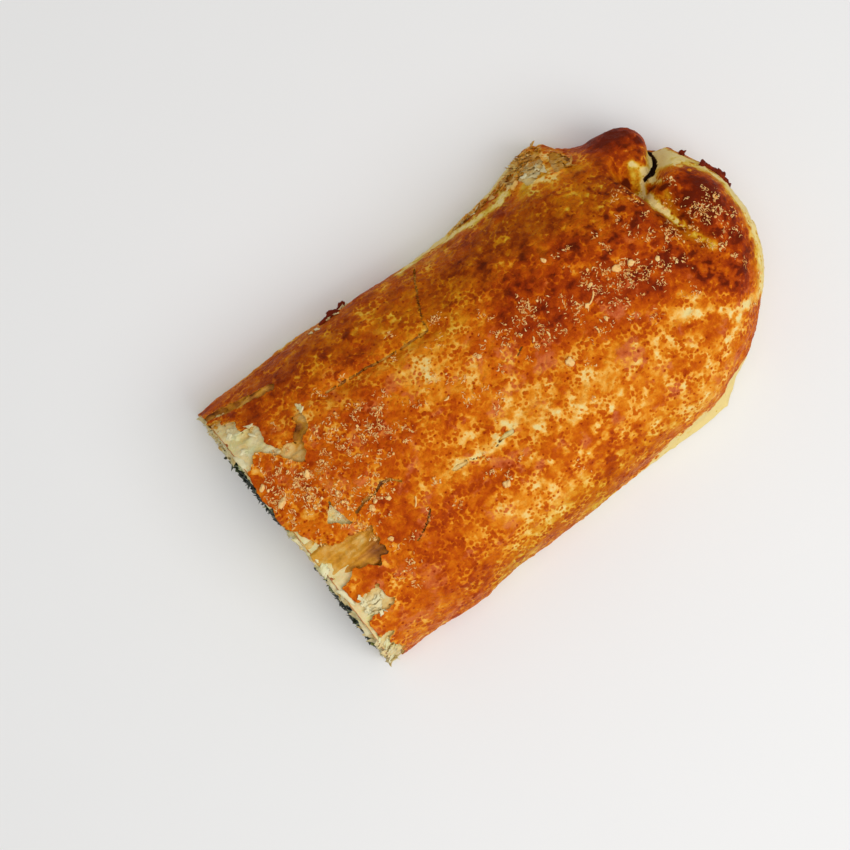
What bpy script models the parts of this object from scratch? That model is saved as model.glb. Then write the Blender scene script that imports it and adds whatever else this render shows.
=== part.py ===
"""A spinach strudel: a loaf of puff pastry rolled round spinach, onion and a boiled egg, cut across at one end.

+X runs along the loaf from the cut end to the folded end, +Z is up, and the loaf rests on Z = 0.
Sizes are in millimetres and become metres when a mesh is made.
"""

import math
import random

import bmesh
import bpy
import numpy as np
from mathutils import Euler, Matrix, Vector, noise

MM = 0.001

# The part's own origin: the middle of its base, measured from the foot of the cut and the loaf's middle line
ORIGIN_ALONG = 135.4
ORIGIN_ACROSS = -2.3

# Loaf
LENGTH = 269.0
HEIGHT = 63.0
LEFT_WIDTHS = [(0, 76.0), (60, 75.0), (115, 70.0), (150, 67.0), (190, 70.0)]
RIGHT_WIDTHS = [(0, 75.0), (60, 77.0), (120, 79.0), (190, 77.0)]
CREST_Y = -8.0
WIDEST_Z = 11.0
LEFT_ROUNDNESS = 2.05
RIGHT_ROUNDNESS = 2.45
BASE_SQUARENESS = 5.0
BASE_DROP = 1.35
CUT_LEAN = 8.0 / 63.0
CUT_SKEW = 0.02

# Folded end
CAP_START = 190.0
CAP_LEFT_POWER = 2.0
CAP_RIGHT_POWER = 1.8
CAP_TOP_POWER = 3.0
CAP_TOP_ROUND = 2.4
CAP_BASE_POWER = 8.0
TIP_Y = -4.0
TIP_Z = 15.0
FLAT_BASE_MARGIN = 0.6

# Filling
FILL_CREST_Y = -16.0
FILL_LEFT = 70.5
FILL_RIGHT = 50.0
FILL_LOW = 5.5
FILL_MID = 9.0
FILL_TOP = 52.0
FILL_ROUNDNESS = 1.5
FILL_CAP_START = 165.0
FILL_END = 208.0
FIT_GAP = 0.35

# Egg
EGG_Y = -9.5
EGG_Z = 28.2
EGG_HALF_WIDTH = 24.0
EGG_HALF_HEIGHT = 20.6
EGG_DEPTH = 23.0
EGG_TILT = math.radians(-14)
YOLK_RADIUS = 15.8
YOLK_Y = -4.2
YOLK_Z = 28.6
YOLK_DEPTH = 14.5

# Mesh density
AROUND = 72
BODY_RINGS = 22
CAP_RINGS = 15
FACE_RINGS = 9
WALL_RINGS = 5

# Folds, tears and lumps of the crust: place along and across the loaf, half sizes, and rise or fall
VALLEY = [(231.0, 38.0), (233.0, 25.0), (235.0, 6.0), (238.0, -16.0)]
VALLEY_DEPTHS = [10.0, 9.5, 6.5, 1.5]
VALLEY_WIDTH = 5.0
GAP = [(236.0, 30.0), (244.0, 30.0), (254.0, 40.0)]
GAP_DEPTHS = [8.0, 11.0, 8.0]
GAP_WIDTH = 4.2
PIT = (238.0, 30.0, 6.0, 6.0, -7.0)
FLAP = (249.0, -2.0, 11.0, 26.0, 6.0)
SADDLES = [
    (95.0, 8.0, 40.0, 22.0, 1.6),
    (150.0, -35.0, 30.0, 20.0, 1.8),
    (195.0, 15.0, 26.0, 26.0, 2.6),
    (130.0, -62.0, 30.0, 9.0, -1.6),
    (70.0, 50.0, 34.0, 10.0, -1.5),
]
SEAM_CRACK = [(60.0, 44.0), (88.0, 40.0), (115.0, 36.0)]
SEAM_CRACK_DEPTH = 1.8
SEAM_CRACK_WIDTH = 3.2
KNOB = ((241.0, 48.0, 27.0), 13.0, 8.0)
BROKEN_LUMP = ((206.0, 69.0, 13.0), 12.0, 7.0)
BROAD_NOISE = (48.0, 2.2)
SMALL_NOISE = (19.0, 0.9)
NOISE_SHIFT = 500.0
RELIEF_FROM_Z = 8.0
RELIEF_FULL_Z = 22.0

# Rim of pale pastry pressed out along the base: how far it stands out at places along each side
LEFT_RIM = [
    (0, 1.5),
    (60, 2.0),
    (115, 0.5),
    (150, 2.5),
    (195, 4.5),
    (212, 5.5),
    (223, -1.5),
    (237, 1.5),
    (250, -4.0),
    (259, 1.5),
    (269, 2.0),
]
RIGHT_RIM = [(0, 0.5), (60, 0.5), (140, 1.5), (180, 4.5), (205, 6.5), (218, 3.0), (240, 3.0), (269, 3.0)]
RIM_Z = 4.0
RIM_HEIGHT = 5.0

# Places where the browned top layer has flaked off: centre along and across, half length, half width, turn, depth
TEARS = [
    (13.0, 45.0, 12.0, 15.0, math.radians(12), 1.7),
    (20.0, -20.0, 19.0, 11.0, math.radians(-14), 2.1),
    (13.0, -54.0, 9.0, 17.0, math.radians(8), 1.6),
    (30.0, -2.0, 7.5, 4.6, math.radians(35), 2.4),
    (31.0, 46.0, 6.0, 8.5, math.radians(-20), 1.9),
]
TEAR_CORNERS = 16
TEAR_JAGGEDNESS = 0.22
TEAR_HEADROOM = 6.0
TEAR_SEED = 5

# Gap between the two turns of pastry, seen on the cut
TURN_GAP_DEPTH = 7.0
TURN_GAP_RING = 0.46
TURN_GAP_WIDTH = 0.07
TURN_GAP_FROM = math.radians(25)
TURN_GAP_TO = math.radians(128)
TURN_GAP_FADE = 0.3
LAYER_RELIEF = 0.9
LAYER_WAVES = 41.0

# Cheese crumbs: centre along and across, spread along and across, how many
CRUMB_CLUSTERS = [
    (24.0, 22.0, 15.0, 12.0, 20),
    (48.0, 8.0, 16.0, 16.0, 16),
    (80.0, 14.0, 24.0, 14.0, 10),
    (247.0, 0.0, 8.0, 20.0, 14),
    (226.0, 6.0, 8.0, 22.0, 8),
    (170.0, 8.0, 30.0, 18.0, 12),
]
CRUMB_FIELD = (14.0, 256.0, 52.0)
CRUMB_SPACING = 1.5
CRUMB_SIZES = (1.1, 1.9)
BIG_CRUMBS = [(22.0, 30.0), (25.0, 14.0), (53.0, -11.0), (36.0, -15.0), (160.0, -20.0), (186.0, 10.0)]
BIG_CRUMB_SIZE = 2.3
CRUMB_LIFT = 0.1
CRUMB_SEED = 11

# Onion pieces set in the face of the filling: place across and up, length, width, thickness, turn
ONIONS = {
    "onion_piece_1": (33.0, 15.5, 11.0, 5.0, 3.6, math.radians(24)),
    "onion_piece_2": (21.5, 22.0, 8.5, 4.4, 3.2, math.radians(-52)),
}
ONION_BEND = 1.6
ONION_PROUD = 0.5


def signed_power(value, exponent):
    return np.sign(value) * np.abs(value) ** exponent


def bump(along, across, spec):
    """A soft rise or fall centred at a place on the loaf."""
    centre_along, centre_across, half_long, half_wide, rise = spec
    reach = ((along - centre_along) / half_long) ** 2 + ((across - centre_across) / half_wide) ** 2
    return rise * np.exp(-reach)


def groove(along, across, line, depths, width):
    """A fall that follows a line of points, with a depth at each point."""
    nearest = np.full(np.shape(along), 1e9)
    depth = np.zeros(np.shape(along))
    for (start, end), (depth_a, depth_b) in zip(zip(line, line[1:]), zip(depths, depths[1:])):
        run = np.subtract(end, start)
        share = ((along - start[0]) * run[0] + (across - start[1]) * run[1]) / (run @ run)
        share = np.clip(share, 0.0, 1.0)
        far = np.hypot(along - start[0] - share * run[0], across - start[1] - share * run[1])
        closer = far < nearest
        nearest = np.where(closer, far, nearest)
        depth = np.where(closer, depth_a + (depth_b - depth_a) * share, depth)
    return -depth * np.exp(-((nearest / width) ** 2))


def ball(points, spec):
    """A rounded knob that swells round a point in space."""
    centre, radius, rise = spec
    reach = np.linalg.norm(points - np.array(centre), axis=-1) / radius
    return rise * np.exp(-(reach**2))


def lumps(points, size, height):
    """Smooth uneven swelling of the given size and height."""
    flat = points.reshape(-1, 3) / size
    values = np.array([noise.noise(Vector(p)) for p in flat])
    return height * values.reshape(points.shape[:-1])


def cut_along(across, up):
    """Where the slanting cut lies: it leans back towards the top."""
    return CUT_LEAN * up + CUT_SKEW * (RIGHT_WIDTHS[0][1] + across)


def outline(angle, left, right, low, mid, top, roundness_left, roundness_right):
    """One cross-section: a dome over a flat base with rounded lower corners."""
    cosine, sine = np.cos(angle), np.sin(angle)
    roundness = np.where(cosine > 0, roundness_left, roundness_right)
    upper = sine >= 0
    spread = np.where(upper, 2.0 / roundness, 2.0 / BASE_SQUARENESS)
    across = signed_power(cosine, spread) * np.where(cosine > 0, left, right)
    dome = mid + (top - mid) * np.abs(sine) ** (2.0 / roundness)
    base = mid - BASE_DROP * (mid - low) * np.abs(sine) ** (2.0 / BASE_SQUARENESS)
    return across, np.where(upper, dome, np.maximum(base, low))


def half_widths(along):
    """Reach of the loaf to the left and right of its crest."""
    return np.interp(along, *zip(*LEFT_WIDTHS)) - CREST_Y, np.interp(along, *zip(*RIGHT_WIDTHS)) + CREST_Y


def smooth_loaf(run, angle):
    """Points of the loaf before its relief. run goes 0 to 1 along the body and 1 to 2 round the folded end."""
    body = np.clip(run, 0.0, 1.0)
    left, right = half_widths(CAP_START * body)
    across, up = outline(angle, left, right, 0.0, WIDEST_Z, HEIGHT, LEFT_ROUNDNESS, RIGHT_ROUNDNESS)
    across = across + CREST_Y
    start = cut_along(across, up)
    turn = np.sin(np.clip(run - 1.0, 0.0, 1.0) * math.pi / 2)
    along = start + (CAP_START - start) * body + (LENGTH - CAP_START) * turn
    left_scale = (1 - turn**CAP_LEFT_POWER) ** (1 / CAP_LEFT_POWER)
    right_scale = (1 - turn**CAP_RIGHT_POWER) ** (1 / CAP_RIGHT_POWER)
    side_scale = np.where(across > TIP_Y, left_scale, right_scale)
    top_scale = (1 - turn**CAP_TOP_POWER) ** (1 / CAP_TOP_ROUND)
    base_scale = (1 - turn**CAP_BASE_POWER) ** (1 / CAP_BASE_POWER)
    across = TIP_Y + (across - TIP_Y) * side_scale
    up = TIP_Z + (up - TIP_Z) * np.where(up > TIP_Z, top_scale, base_scale)
    return np.stack(np.broadcast_arrays(along, across, up), axis=-1)


def rim_push(points):
    """How far the base rim stands out sideways at each point."""
    along, across, up = points[..., 0], points[..., 1], points[..., 2]
    left = np.interp(along, *zip(*LEFT_RIM))
    right = np.interp(along, *zip(*RIGHT_RIM))
    return np.where(across > TIP_Y, left, right) * np.exp(-(((up - RIM_Z) / RIM_HEIGHT) ** 2))


def crust_relief(points):
    """How far the crust rises or falls along its own normal."""
    along, across, up = points[..., 0], points[..., 1], points[..., 2]
    rise = lumps(points, *BROAD_NOISE) + lumps(points + NOISE_SHIFT, *SMALL_NOISE)
    for spec in [PIT, FLAP, *SADDLES]:
        rise = rise + bump(along, across, spec)
    rise = rise + groove(along, across, VALLEY, VALLEY_DEPTHS, VALLEY_WIDTH)
    rise = rise + groove(along, across, GAP, GAP_DEPTHS, GAP_WIDTH)
    seam_depths = [SEAM_CRACK_DEPTH] * len(SEAM_CRACK)
    rise = rise + groove(along, across, SEAM_CRACK, seam_depths, SEAM_CRACK_WIDTH)
    above_base = np.clip((up - RELIEF_FROM_Z) / (RELIEF_FULL_Z - RELIEF_FROM_Z), 0.0, 1.0)
    return rise * above_base + ball(points, KNOB) + ball(points, BROKEN_LUMP)


def skin(run, angle):
    """Points of the finished crust, and the way it faces there."""
    step = 1e-3
    here = smooth_loaf(run, angle)
    forward = smooth_loaf(np.minimum(run + step, 1.999), angle) - smooth_loaf(run - step, angle)
    turned = smooth_loaf(run, angle + step) - smooth_loaf(run, angle - step)
    facing = np.cross(turned, forward)
    facing = facing / np.maximum(np.linalg.norm(facing, axis=-1, keepdims=True), 1e-9)
    flat_base = here[..., 2:3] < FLAT_BASE_MARGIN
    points = here + facing * crust_relief(here)[..., None] * np.where(flat_base, 0.0, 1.0)
    sideways = facing * np.array([1.0, 1.0, 0.0])
    sideways = sideways / np.maximum(np.linalg.norm(sideways, axis=-1, keepdims=True), 0.3)
    points = points + sideways * rim_push(here)[..., None]
    points[..., 2] = np.where(flat_base[..., 0], 0.0, np.maximum(points[..., 2], 0.0))
    return points, facing


def filling_outline(angle, grow=0.0):
    """Cross-section of the filling, or of the hollow that holds it where grow is the gap."""
    across, up = outline(
        angle,
        FILL_LEFT + grow,
        FILL_RIGHT + grow,
        FILL_LOW - grow,
        FILL_MID,
        FILL_TOP + grow * 1.6,
        FILL_ROUNDNESS,
        FILL_ROUNDNESS,
    )
    return across + FILL_CREST_Y, up


def filling_walls(angle, grow=0.0):
    """Rings of the filling's side, from its front to its rounded deep end, and the end point."""
    across, up = filling_outline(angle, grow)
    rings = []
    for turn in np.sin(np.linspace(0, math.pi / 2, WALL_RINGS + 1))[:-1]:
        scale = math.sqrt(1 - turn**2)
        along = FILL_CAP_START + (FILL_END + grow - FILL_CAP_START) * turn
        y = FILL_CREST_Y + (across - FILL_CREST_Y) * scale
        z = EGG_Z + (up - EGG_Z) * scale
        rings.append(np.stack([np.full(angle.shape, along), y, z], axis=-1))
    return rings, np.array([[FILL_END + grow, FILL_CREST_Y, EGG_Z]])


def egg_outline(angle, grow=0.0):
    """The cut egg's oval, in step with the filling's angles."""
    y = (EGG_HALF_WIDTH + grow) * np.cos(angle)
    z = (EGG_HALF_HEIGHT + grow) * np.sin(angle)
    across = EGG_Y + y * math.cos(EGG_TILT) - z * math.sin(EGG_TILT)
    return across, EGG_Z + y * math.sin(EGG_TILT) + z * math.cos(EGG_TILT)


def yolk_outline(angle, grow=0.0):
    return YOLK_Y + (YOLK_RADIUS + grow) * np.cos(angle), YOLK_Z + (YOLK_RADIUS + grow) * np.sin(angle)


def bowl(outline_at, centre, depth, angle, rings, grow=0.0):
    """Rings of a round pocket or back that runs from its rim on the cut down to its deepest point."""
    across, up = outline_at(angle, grow)
    made = []
    for turn in np.linspace(0, math.pi / 2, rings + 1)[:-1]:
        y = centre[0] + (across - centre[0]) * math.cos(turn)
        z = centre[1] + (up - centre[1]) * math.cos(turn)
        along = cut_along(y, z) + (depth + grow) * math.sin(turn)
        made.append(np.stack([along, y, z], axis=-1))
    tip = cut_along(*centre) + depth + grow
    return made, np.array([[tip, *centre]])


def face_rings(inner, outer, shares, relief):
    """Rings of the cut face between an inner and an outer outline. relief says how far each point lies in."""
    made = []
    for share in shares:
        y = inner[0] + (outer[0] - inner[0]) * share
        z = inner[1] + (outer[1] - inner[1]) * share
        made.append(np.stack([cut_along(y, z) + relief(share, y, z), y, z], axis=-1))
    return made


def loft(name, sections, material, collection=None):
    """A closed solid through rings of points. A section of one point closes an end."""
    mesh = bmesh.new()
    rows = [[mesh.verts.new(Vector(p) * MM) for p in section] for section in sections]
    for near, far in zip(rows, rows[1:]):
        count = max(len(near), len(far))
        for k in range(count):
            after = (k + 1) % count
            corners = [near[k % len(near)], near[after % len(near)], far[after % len(far)], far[k % len(far)]]
            unique = list(dict.fromkeys(corners))
            mesh.faces.new(unique)
    bmesh.ops.triangulate(mesh, faces=mesh.faces[:])
    bmesh.ops.recalc_face_normals(mesh, faces=mesh.faces[:])
    return add_object(name, mesh, material, collection)


def add_object(name, mesh, material, collection=None):
    data = bpy.data.meshes.new(name)
    mesh.to_mesh(data)
    mesh.free()
    data.materials.append(material)
    data.shade_smooth()
    made = bpy.data.objects.new(name, data)
    (collection or loaf_collection).objects.link(made)
    return made


def finish(name, colour, roughness):
    """A plain Principled finish."""
    material = bpy.data.materials.new(name)
    material.use_nodes = True
    shader = material.node_tree.nodes["Principled BSDF"]
    shader.inputs["Base Color"].default_value = (*colour, 1.0)
    shader.inputs["Roughness"].default_value = roughness
    shader.inputs["Metallic"].default_value = 0.0
    return material


def centred(points):
    """Moves points from distance along and across the loaf to the part's own origin."""
    return points - np.array([ORIGIN_ALONG, ORIGIN_ACROSS, 0.0])


def layer_relief(angle):
    """Relief of the cut pastry: the gap between its turns, and thin flaky layers outside it."""
    begun = np.clip((angle - TURN_GAP_FROM) / TURN_GAP_FADE, 0, 1)
    in_gap = begun * np.clip((TURN_GAP_TO - angle) / TURN_GAP_FADE, 0, 1)

    def relief(share, y, z):
        gap = TURN_GAP_DEPTH * in_gap * math.exp(-(((share - TURN_GAP_RING) / TURN_GAP_WIDTH) ** 2))
        flaky = LAYER_RELIEF * np.sin(share * LAYER_WAVES + 2.0 * np.sin(3.0 * angle))
        off_rims = 1.0 - abs(2 * share - 1) ** 6
        return gap + flaky * off_rims * np.clip(3 * share - 0.3, 0, 1)

    return relief


def pastry(material):
    """The crust: the hollow for the filling, the cut face and the outer skin, as one solid."""
    angle = np.linspace(0, 2 * math.pi, AROUND, endpoint=False)
    walls, deep_point = filling_walls(angle, FIT_GAP)
    body = [skin(run, angle)[0] for run in np.linspace(0, 1, BODY_RINGS) ** 1.25]
    cap = [skin(run, angle)[0] for run in np.linspace(1, 2, CAP_RINGS + 1)[1:-1]]
    tip = np.array([[LENGTH, TIP_Y, TIP_Z]])
    hollow_rim = filling_outline(angle, FIT_GAP)
    outer_rim = body[0][:, 1], body[0][:, 2]
    shares = np.linspace(0, 1, FACE_RINGS + 1)[1:-1]
    face = face_rings(hollow_rim, outer_rim, shares, layer_relief(angle))
    front = face_rings(hollow_rim, outer_rim, [0.0], lambda share, y, z: 0.0)
    sections = [deep_point, *reversed(walls), *front, *face, *body, *cap, tip]
    return loft("pastry", [centred(s) for s in sections], material)


def leafy_relief(share, y, z):
    """Lumps of chopped leaf on the face of the filling."""
    points = np.stack([np.zeros(np.shape(y)), y, z], axis=-1)
    return lumps(points, 6.0, 1.4) * (1 - (2 * share - 1) ** 4) + 0.4


def spinach(material):
    angle = np.linspace(0, 2 * math.pi, AROUND, endpoint=False)
    centre = (EGG_Y, EGG_Z)
    pocket, pocket_tip = bowl(egg_outline, centre, EGG_DEPTH, angle, WALL_RINGS, FIT_GAP)
    walls, deep_point = filling_walls(angle)
    shares = np.linspace(0, 1, 7)[1:]
    face = face_rings(egg_outline(angle, FIT_GAP), filling_outline(angle), shares, leafy_relief)
    sections = [pocket_tip, *reversed(pocket), *face, *walls, deep_point]
    return loft("spinach_filling", [centred(s) for s in sections], material)


def egg_white(material):
    angle = np.linspace(0, 2 * math.pi, AROUND // 2, endpoint=False)
    pocket, pocket_tip = bowl(yolk_outline, (YOLK_Y, YOLK_Z), YOLK_DEPTH, angle, WALL_RINGS, FIT_GAP)
    back, back_tip = bowl(egg_outline, (EGG_Y, EGG_Z), EGG_DEPTH, angle, WALL_RINGS + 1)
    middle = face_rings(yolk_outline(angle, FIT_GAP), egg_outline(angle), [0.5], lambda share, y, z: 0.2)
    sections = [pocket_tip, *reversed(pocket), *middle, *back, back_tip]
    return loft("egg_white", [centred(s) for s in sections], material)


def egg_yolk(material):
    angle = np.linspace(0, 2 * math.pi, AROUND // 3, endpoint=False)
    centre = (YOLK_Y, YOLK_Z)
    back, back_tip = bowl(yolk_outline, centre, YOLK_DEPTH, angle, WALL_RINGS)
    middle = (np.full(angle.shape, YOLK_Y), np.full(angle.shape, YOLK_Z))
    face = face_rings(middle, yolk_outline(angle), [0.45, 0.75], lambda share, y, z: 0.3)
    face_centre = np.array([[cut_along(*centre) + 0.4, *centre]])
    return loft("egg_yolk", [centred(s) for s in [face_centre, *face, *back, back_tip]], material)


def onion(name, spec, material, grow=0.0, collection=None):
    """A curved sliver of onion, lying in the face of the filling."""
    across, up, length, width, thickness, turn = spec
    mesh = bmesh.new()
    bmesh.ops.create_icosphere(mesh, subdivisions=2, radius=1.0)
    for vert in mesh.verts:
        away = vert.co.copy()
        vert.co.x = away.x * thickness / 2
        vert.co.y = away.y * length / 2
        vert.co.z = away.z * width / 2 + ONION_BEND * away.y**2
        vert.co += away * grow
    bmesh.ops.rotate(mesh, verts=mesh.verts[:], matrix=Matrix.Rotation(turn, 3, "X"))
    along = cut_along(across, up) + thickness / 2 - ONION_PROUD
    centre = Vector(centred(np.array([along, across, up])))
    for vert in mesh.verts:
        vert.co = (vert.co + centre) * MM
    return add_object(name, mesh, material, collection)


def crumb_places():
    """Where the cheese crumbs lie, with a size for each, from a fixed seed."""
    draw = random.Random(CRUMB_SEED)
    places = [(along, across, BIG_CRUMB_SIZE) for along, across in BIG_CRUMBS]
    for along, across, spread_along, spread_across, count in CRUMB_CLUSTERS:
        for _ in range(count):
            place = draw.gauss(along, spread_along), draw.gauss(across, spread_across)
            places.append((*place, draw.uniform(*CRUMB_SIZES)))
    nearest, farthest, side = CRUMB_FIELD
    kept = []
    for along, across, size in places:
        on_top = nearest < along < farthest and abs(across) < side and not torn(along, across, size)
        if on_top and all(math.dist((along, across), k[:2]) > CRUMB_SPACING * (size + k[2]) for k in kept):
            kept.append((along, across, size))
    return kept


def torn(along, across, margin):
    """Whether a place is in or near one of the tears."""
    for centre_along, centre_across, half_long, half_wide, turn, _ in TEARS:
        away_along, away_across = along - centre_along, across - centre_across
        long = away_along * math.cos(turn) + away_across * math.sin(turn)
        wide = away_across * math.cos(turn) - away_along * math.sin(turn)
        reach = 1 + TEAR_JAGGEDNESS
        if math.hypot(long / (half_long * reach + margin), wide / (half_wide * reach + margin)) < 1.0:
            return True
    return False


def top_point(along, across):
    """The crust's point above a place, and the way it faces. A place past the cut carries on level."""
    left, right = half_widths(along)
    if across > CREST_Y:
        cosine = min(1.0, (across - CREST_Y) / left) ** (LEFT_ROUNDNESS / 2)
    else:
        cosine = -(min(1.0, (CREST_Y - across) / right) ** (RIGHT_ROUNDNESS / 2))
    angle = math.acos(cosine)
    overhang = 0.0
    if along > CAP_START:
        run = 1 + math.asin((along - CAP_START) / (LENGTH - CAP_START)) / (math.pi / 2)
    else:
        start = cut_along(across, HEIGHT)
        run = max(0.0, (along - start) / (CAP_START - start))
        overhang = min(0.0, along - start)
    points, facing = skin(np.array([run]), np.array([angle]))
    return Vector(centred(points)[0]) + Vector((overhang, 0, 0)), Vector(facing[0])


def tear_cutter(name, spec, draw, material, collection):
    """A shallow jagged cutter whose floor follows the crust at a set depth."""
    centre_along, centre_across, half_long, half_wide, turn, depth = spec
    reaches = [1 + draw.uniform(-TEAR_JAGGEDNESS, TEAR_JAGGEDNESS) for _ in range(TEAR_CORNERS)]

    def ring(share, lift):
        made = []
        for corner, reach in enumerate(reaches):
            angle = math.tau * corner / TEAR_CORNERS
            long = half_long * share * reach * math.cos(angle)
            wide = half_wide * share * reach * math.sin(angle)
            along = centre_along + long * math.cos(turn) - wide * math.sin(turn)
            across = centre_across + long * math.sin(turn) + wide * math.cos(turn)
            point, facing = top_point(along, across)
            made.append(point + facing * lift)
        return made

    centre, facing = top_point(centre_along, centre_across)
    sections = [
        [centre - facing * depth],
        ring(0.5, -depth),
        ring(1.0, -depth),
        ring(1.0, TEAR_HEADROOM),
        [centre + facing * TEAR_HEADROOM],
    ]
    loft(name, sections, material, collection)


def cut_tears(loaf, material):
    draw = random.Random(TEAR_SEED)
    cutters = new_collection("tear_cutters")
    for index, spec in enumerate(TEARS):
        tear_cutter(f"tear_{index}", spec, draw, material, cutters)
    apply_boolean(loaf, "DIFFERENCE", cutters)


def scatter_crumbs(material, collection):
    draw = random.Random(CRUMB_SEED + 1)
    for index, (along, across, size) in enumerate(crumb_places()):
        point, facing = top_point(along, across)
        mesh = bmesh.new()
        bmesh.ops.create_icosphere(mesh, subdivisions=1, radius=1.0)
        stretch = Vector((size, size * draw.uniform(0.6, 0.9), size * draw.uniform(0.6, 0.8)))
        turn = Euler([draw.uniform(0, math.tau) for _ in range(3)]).to_matrix()
        centre = point + facing * size * CRUMB_LIFT
        for vert in mesh.verts:
            uneven = vert.co * draw.uniform(0.85, 1.1)
            vert.co = (turn @ (uneven * stretch) + centre) * MM
        add_object(f"crumb_{index:03d}", mesh, material, collection)


def drop_scraps(data):
    """Keeps the largest connected body of a mesh and removes loose scraps."""
    mesh = bmesh.new()
    mesh.from_mesh(data)
    bodies, placed = [], set()
    for first in mesh.verts:
        body, waiting = [], [first]
        while waiting:
            vert = waiting.pop()
            if vert not in placed:
                placed.add(vert)
                body.append(vert)
                waiting.extend(edge.other_vert(vert) for edge in vert.link_edges)
        bodies.append(body)
    largest = max(bodies, key=len)
    scraps = [vert for body in bodies if body is not largest for vert in body]
    bmesh.ops.delete(mesh, geom=scraps, context="VERTS")
    mesh.to_mesh(data)
    mesh.free()


def apply_boolean(target, operation, collection):
    """Joins or cuts a target by every object of a collection, applies it and removes those objects."""
    modifier = target.modifiers.new(operation.title(), "BOOLEAN")
    modifier.operation = operation
    modifier.operand_type = "COLLECTION"
    modifier.collection = collection
    modifier.solver = "EXACT"
    bpy.context.view_layer.update()
    graph = bpy.context.evaluated_depsgraph_get()
    made = bpy.data.meshes.new_from_object(target.evaluated_get(graph))
    target.modifiers.clear()
    target.data = made
    drop_scraps(made)
    for tool in list(collection.objects):
        bpy.data.objects.remove(tool)
    bpy.data.collections.remove(collection)


def new_collection(name):
    made = bpy.data.collections.new(name)
    bpy.context.scene.collection.children.link(made)
    return made


def build():
    crust = finish("crust", (0.62, 0.25, 0.06), 0.45)
    leaf = finish("spinach", (0.035, 0.06, 0.02), 0.5)
    white = finish("egg_white", (0.86, 0.86, 0.76), 0.35)
    yolk = finish("egg_yolk", (0.90, 0.62, 0.06), 0.7)
    onion_finish = finish("onion", (0.62, 0.62, 0.42), 0.3)

    loaf = pastry(crust)
    cut_tears(loaf, crust)
    crumbs = new_collection("crumbs")
    scatter_crumbs(crust, crumbs)
    apply_boolean(loaf, "UNION", crumbs)

    filling = spinach(leaf)
    pockets = new_collection("onion_pockets")
    for name, spec in ONIONS.items():
        onion(name, spec, onion_finish)
        onion(name + "_pocket", spec, onion_finish, FIT_GAP, pockets)
    apply_boolean(filling, "DIFFERENCE", pockets)
    egg_white(white)
    egg_yolk(yolk)


for existing in list(bpy.data.objects):
    bpy.data.objects.remove(existing)
loaf_collection = new_collection("spinach_strudel")
build()
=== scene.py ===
"""Looks of a spinach strudel: a loaf of puff pastry cut across at one end, with crumbs of toasted cheese on top.

Lengths are in millimetres, along the loaf from the foot of the cut and across it from its middle line, until
a mesh is made. Angles round the loaf start at its left side, and a quarter turn is its crest.
"""

import functools
import itertools
import math
import random

import bmesh
import bpy
import numpy as np
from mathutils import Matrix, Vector, kdtree, noise


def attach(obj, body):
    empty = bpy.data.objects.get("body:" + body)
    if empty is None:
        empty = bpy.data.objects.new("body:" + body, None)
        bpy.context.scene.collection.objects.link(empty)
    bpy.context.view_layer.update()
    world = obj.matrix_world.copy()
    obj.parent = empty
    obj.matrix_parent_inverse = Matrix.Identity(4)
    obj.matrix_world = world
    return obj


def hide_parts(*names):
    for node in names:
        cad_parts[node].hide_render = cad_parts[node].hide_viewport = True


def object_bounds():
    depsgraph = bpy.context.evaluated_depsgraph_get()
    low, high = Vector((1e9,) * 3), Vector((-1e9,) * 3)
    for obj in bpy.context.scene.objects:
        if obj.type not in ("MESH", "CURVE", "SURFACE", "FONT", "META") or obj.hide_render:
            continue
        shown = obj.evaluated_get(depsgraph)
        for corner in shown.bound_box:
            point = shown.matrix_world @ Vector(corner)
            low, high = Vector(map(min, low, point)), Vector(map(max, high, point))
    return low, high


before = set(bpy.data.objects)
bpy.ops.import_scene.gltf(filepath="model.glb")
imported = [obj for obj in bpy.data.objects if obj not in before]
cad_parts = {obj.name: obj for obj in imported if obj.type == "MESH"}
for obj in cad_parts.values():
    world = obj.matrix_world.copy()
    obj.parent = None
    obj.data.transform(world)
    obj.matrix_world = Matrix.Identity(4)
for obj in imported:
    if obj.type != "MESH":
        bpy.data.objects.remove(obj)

bl_info = {
    "name": "Spinach strudel",
    "version": (1, 0, 0),
    "blender": (4, 5, 0),
    "location": "View3D > Sidebar > Strudel",
    "description": "Builds a baked spinach strudel with its cut face, crust and crumbs",
    "category": "Object",
}

MM = 0.001
CAD_BOX = [np.array(corner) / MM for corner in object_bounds()]
BOX_MARGIN = 0.04

# The loaf's own frame
ORIGIN_ALONG = 135.4
ORIGIN_ACROSS = -2.3

# Loaf
LENGTH = 269.0
HEIGHT = 63.0
LEFT_WIDTHS = [(0, 76), (60, 75), (115, 70), (150, 67), (190, 70)]
RIGHT_WIDTHS = [(0, 75), (60, 77), (120, 79), (190, 77)]
CREST_Y = -8.0
WIDEST_Z = 11.0
LEFT_ROUNDNESS = 2.05
RIGHT_ROUNDNESS = 2.45
BASE_SQUARENESS = 5.0
BASE_DROP = 1.35
CUT_LEAN = 8.0 / 63.0
CUT_SKEW = 0.02

# Folded end
CAP_START = 190.0
CAP_LEFT_POWER = 2.0
CAP_RIGHT_POWER = 1.8
CAP_TOP_POWER = 3.0
CAP_TOP_ROUND = 2.4
CAP_BASE_POWER = 8.0
TIP_Y = -4.0
TIP_Z = 15.0
FLAT_BASE_MARGIN = 0.6
LAST_RUN = 1.999

# Humps and hollows of the crust: place along and across the loaf, half sizes, and rise or fall
HUMPS = [
    (238, 30, 6, 6, -7.0), (249, -2, 11, 26, 6.0), (95, 8, 40, 22, 1.6), (150, -35, 30, 20, 1.8),
    (195, 15, 26, 26, 2.6), (130, -62, 30, 9, -1.6), (70, 50, 34, 10, -1.5),
]
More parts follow.
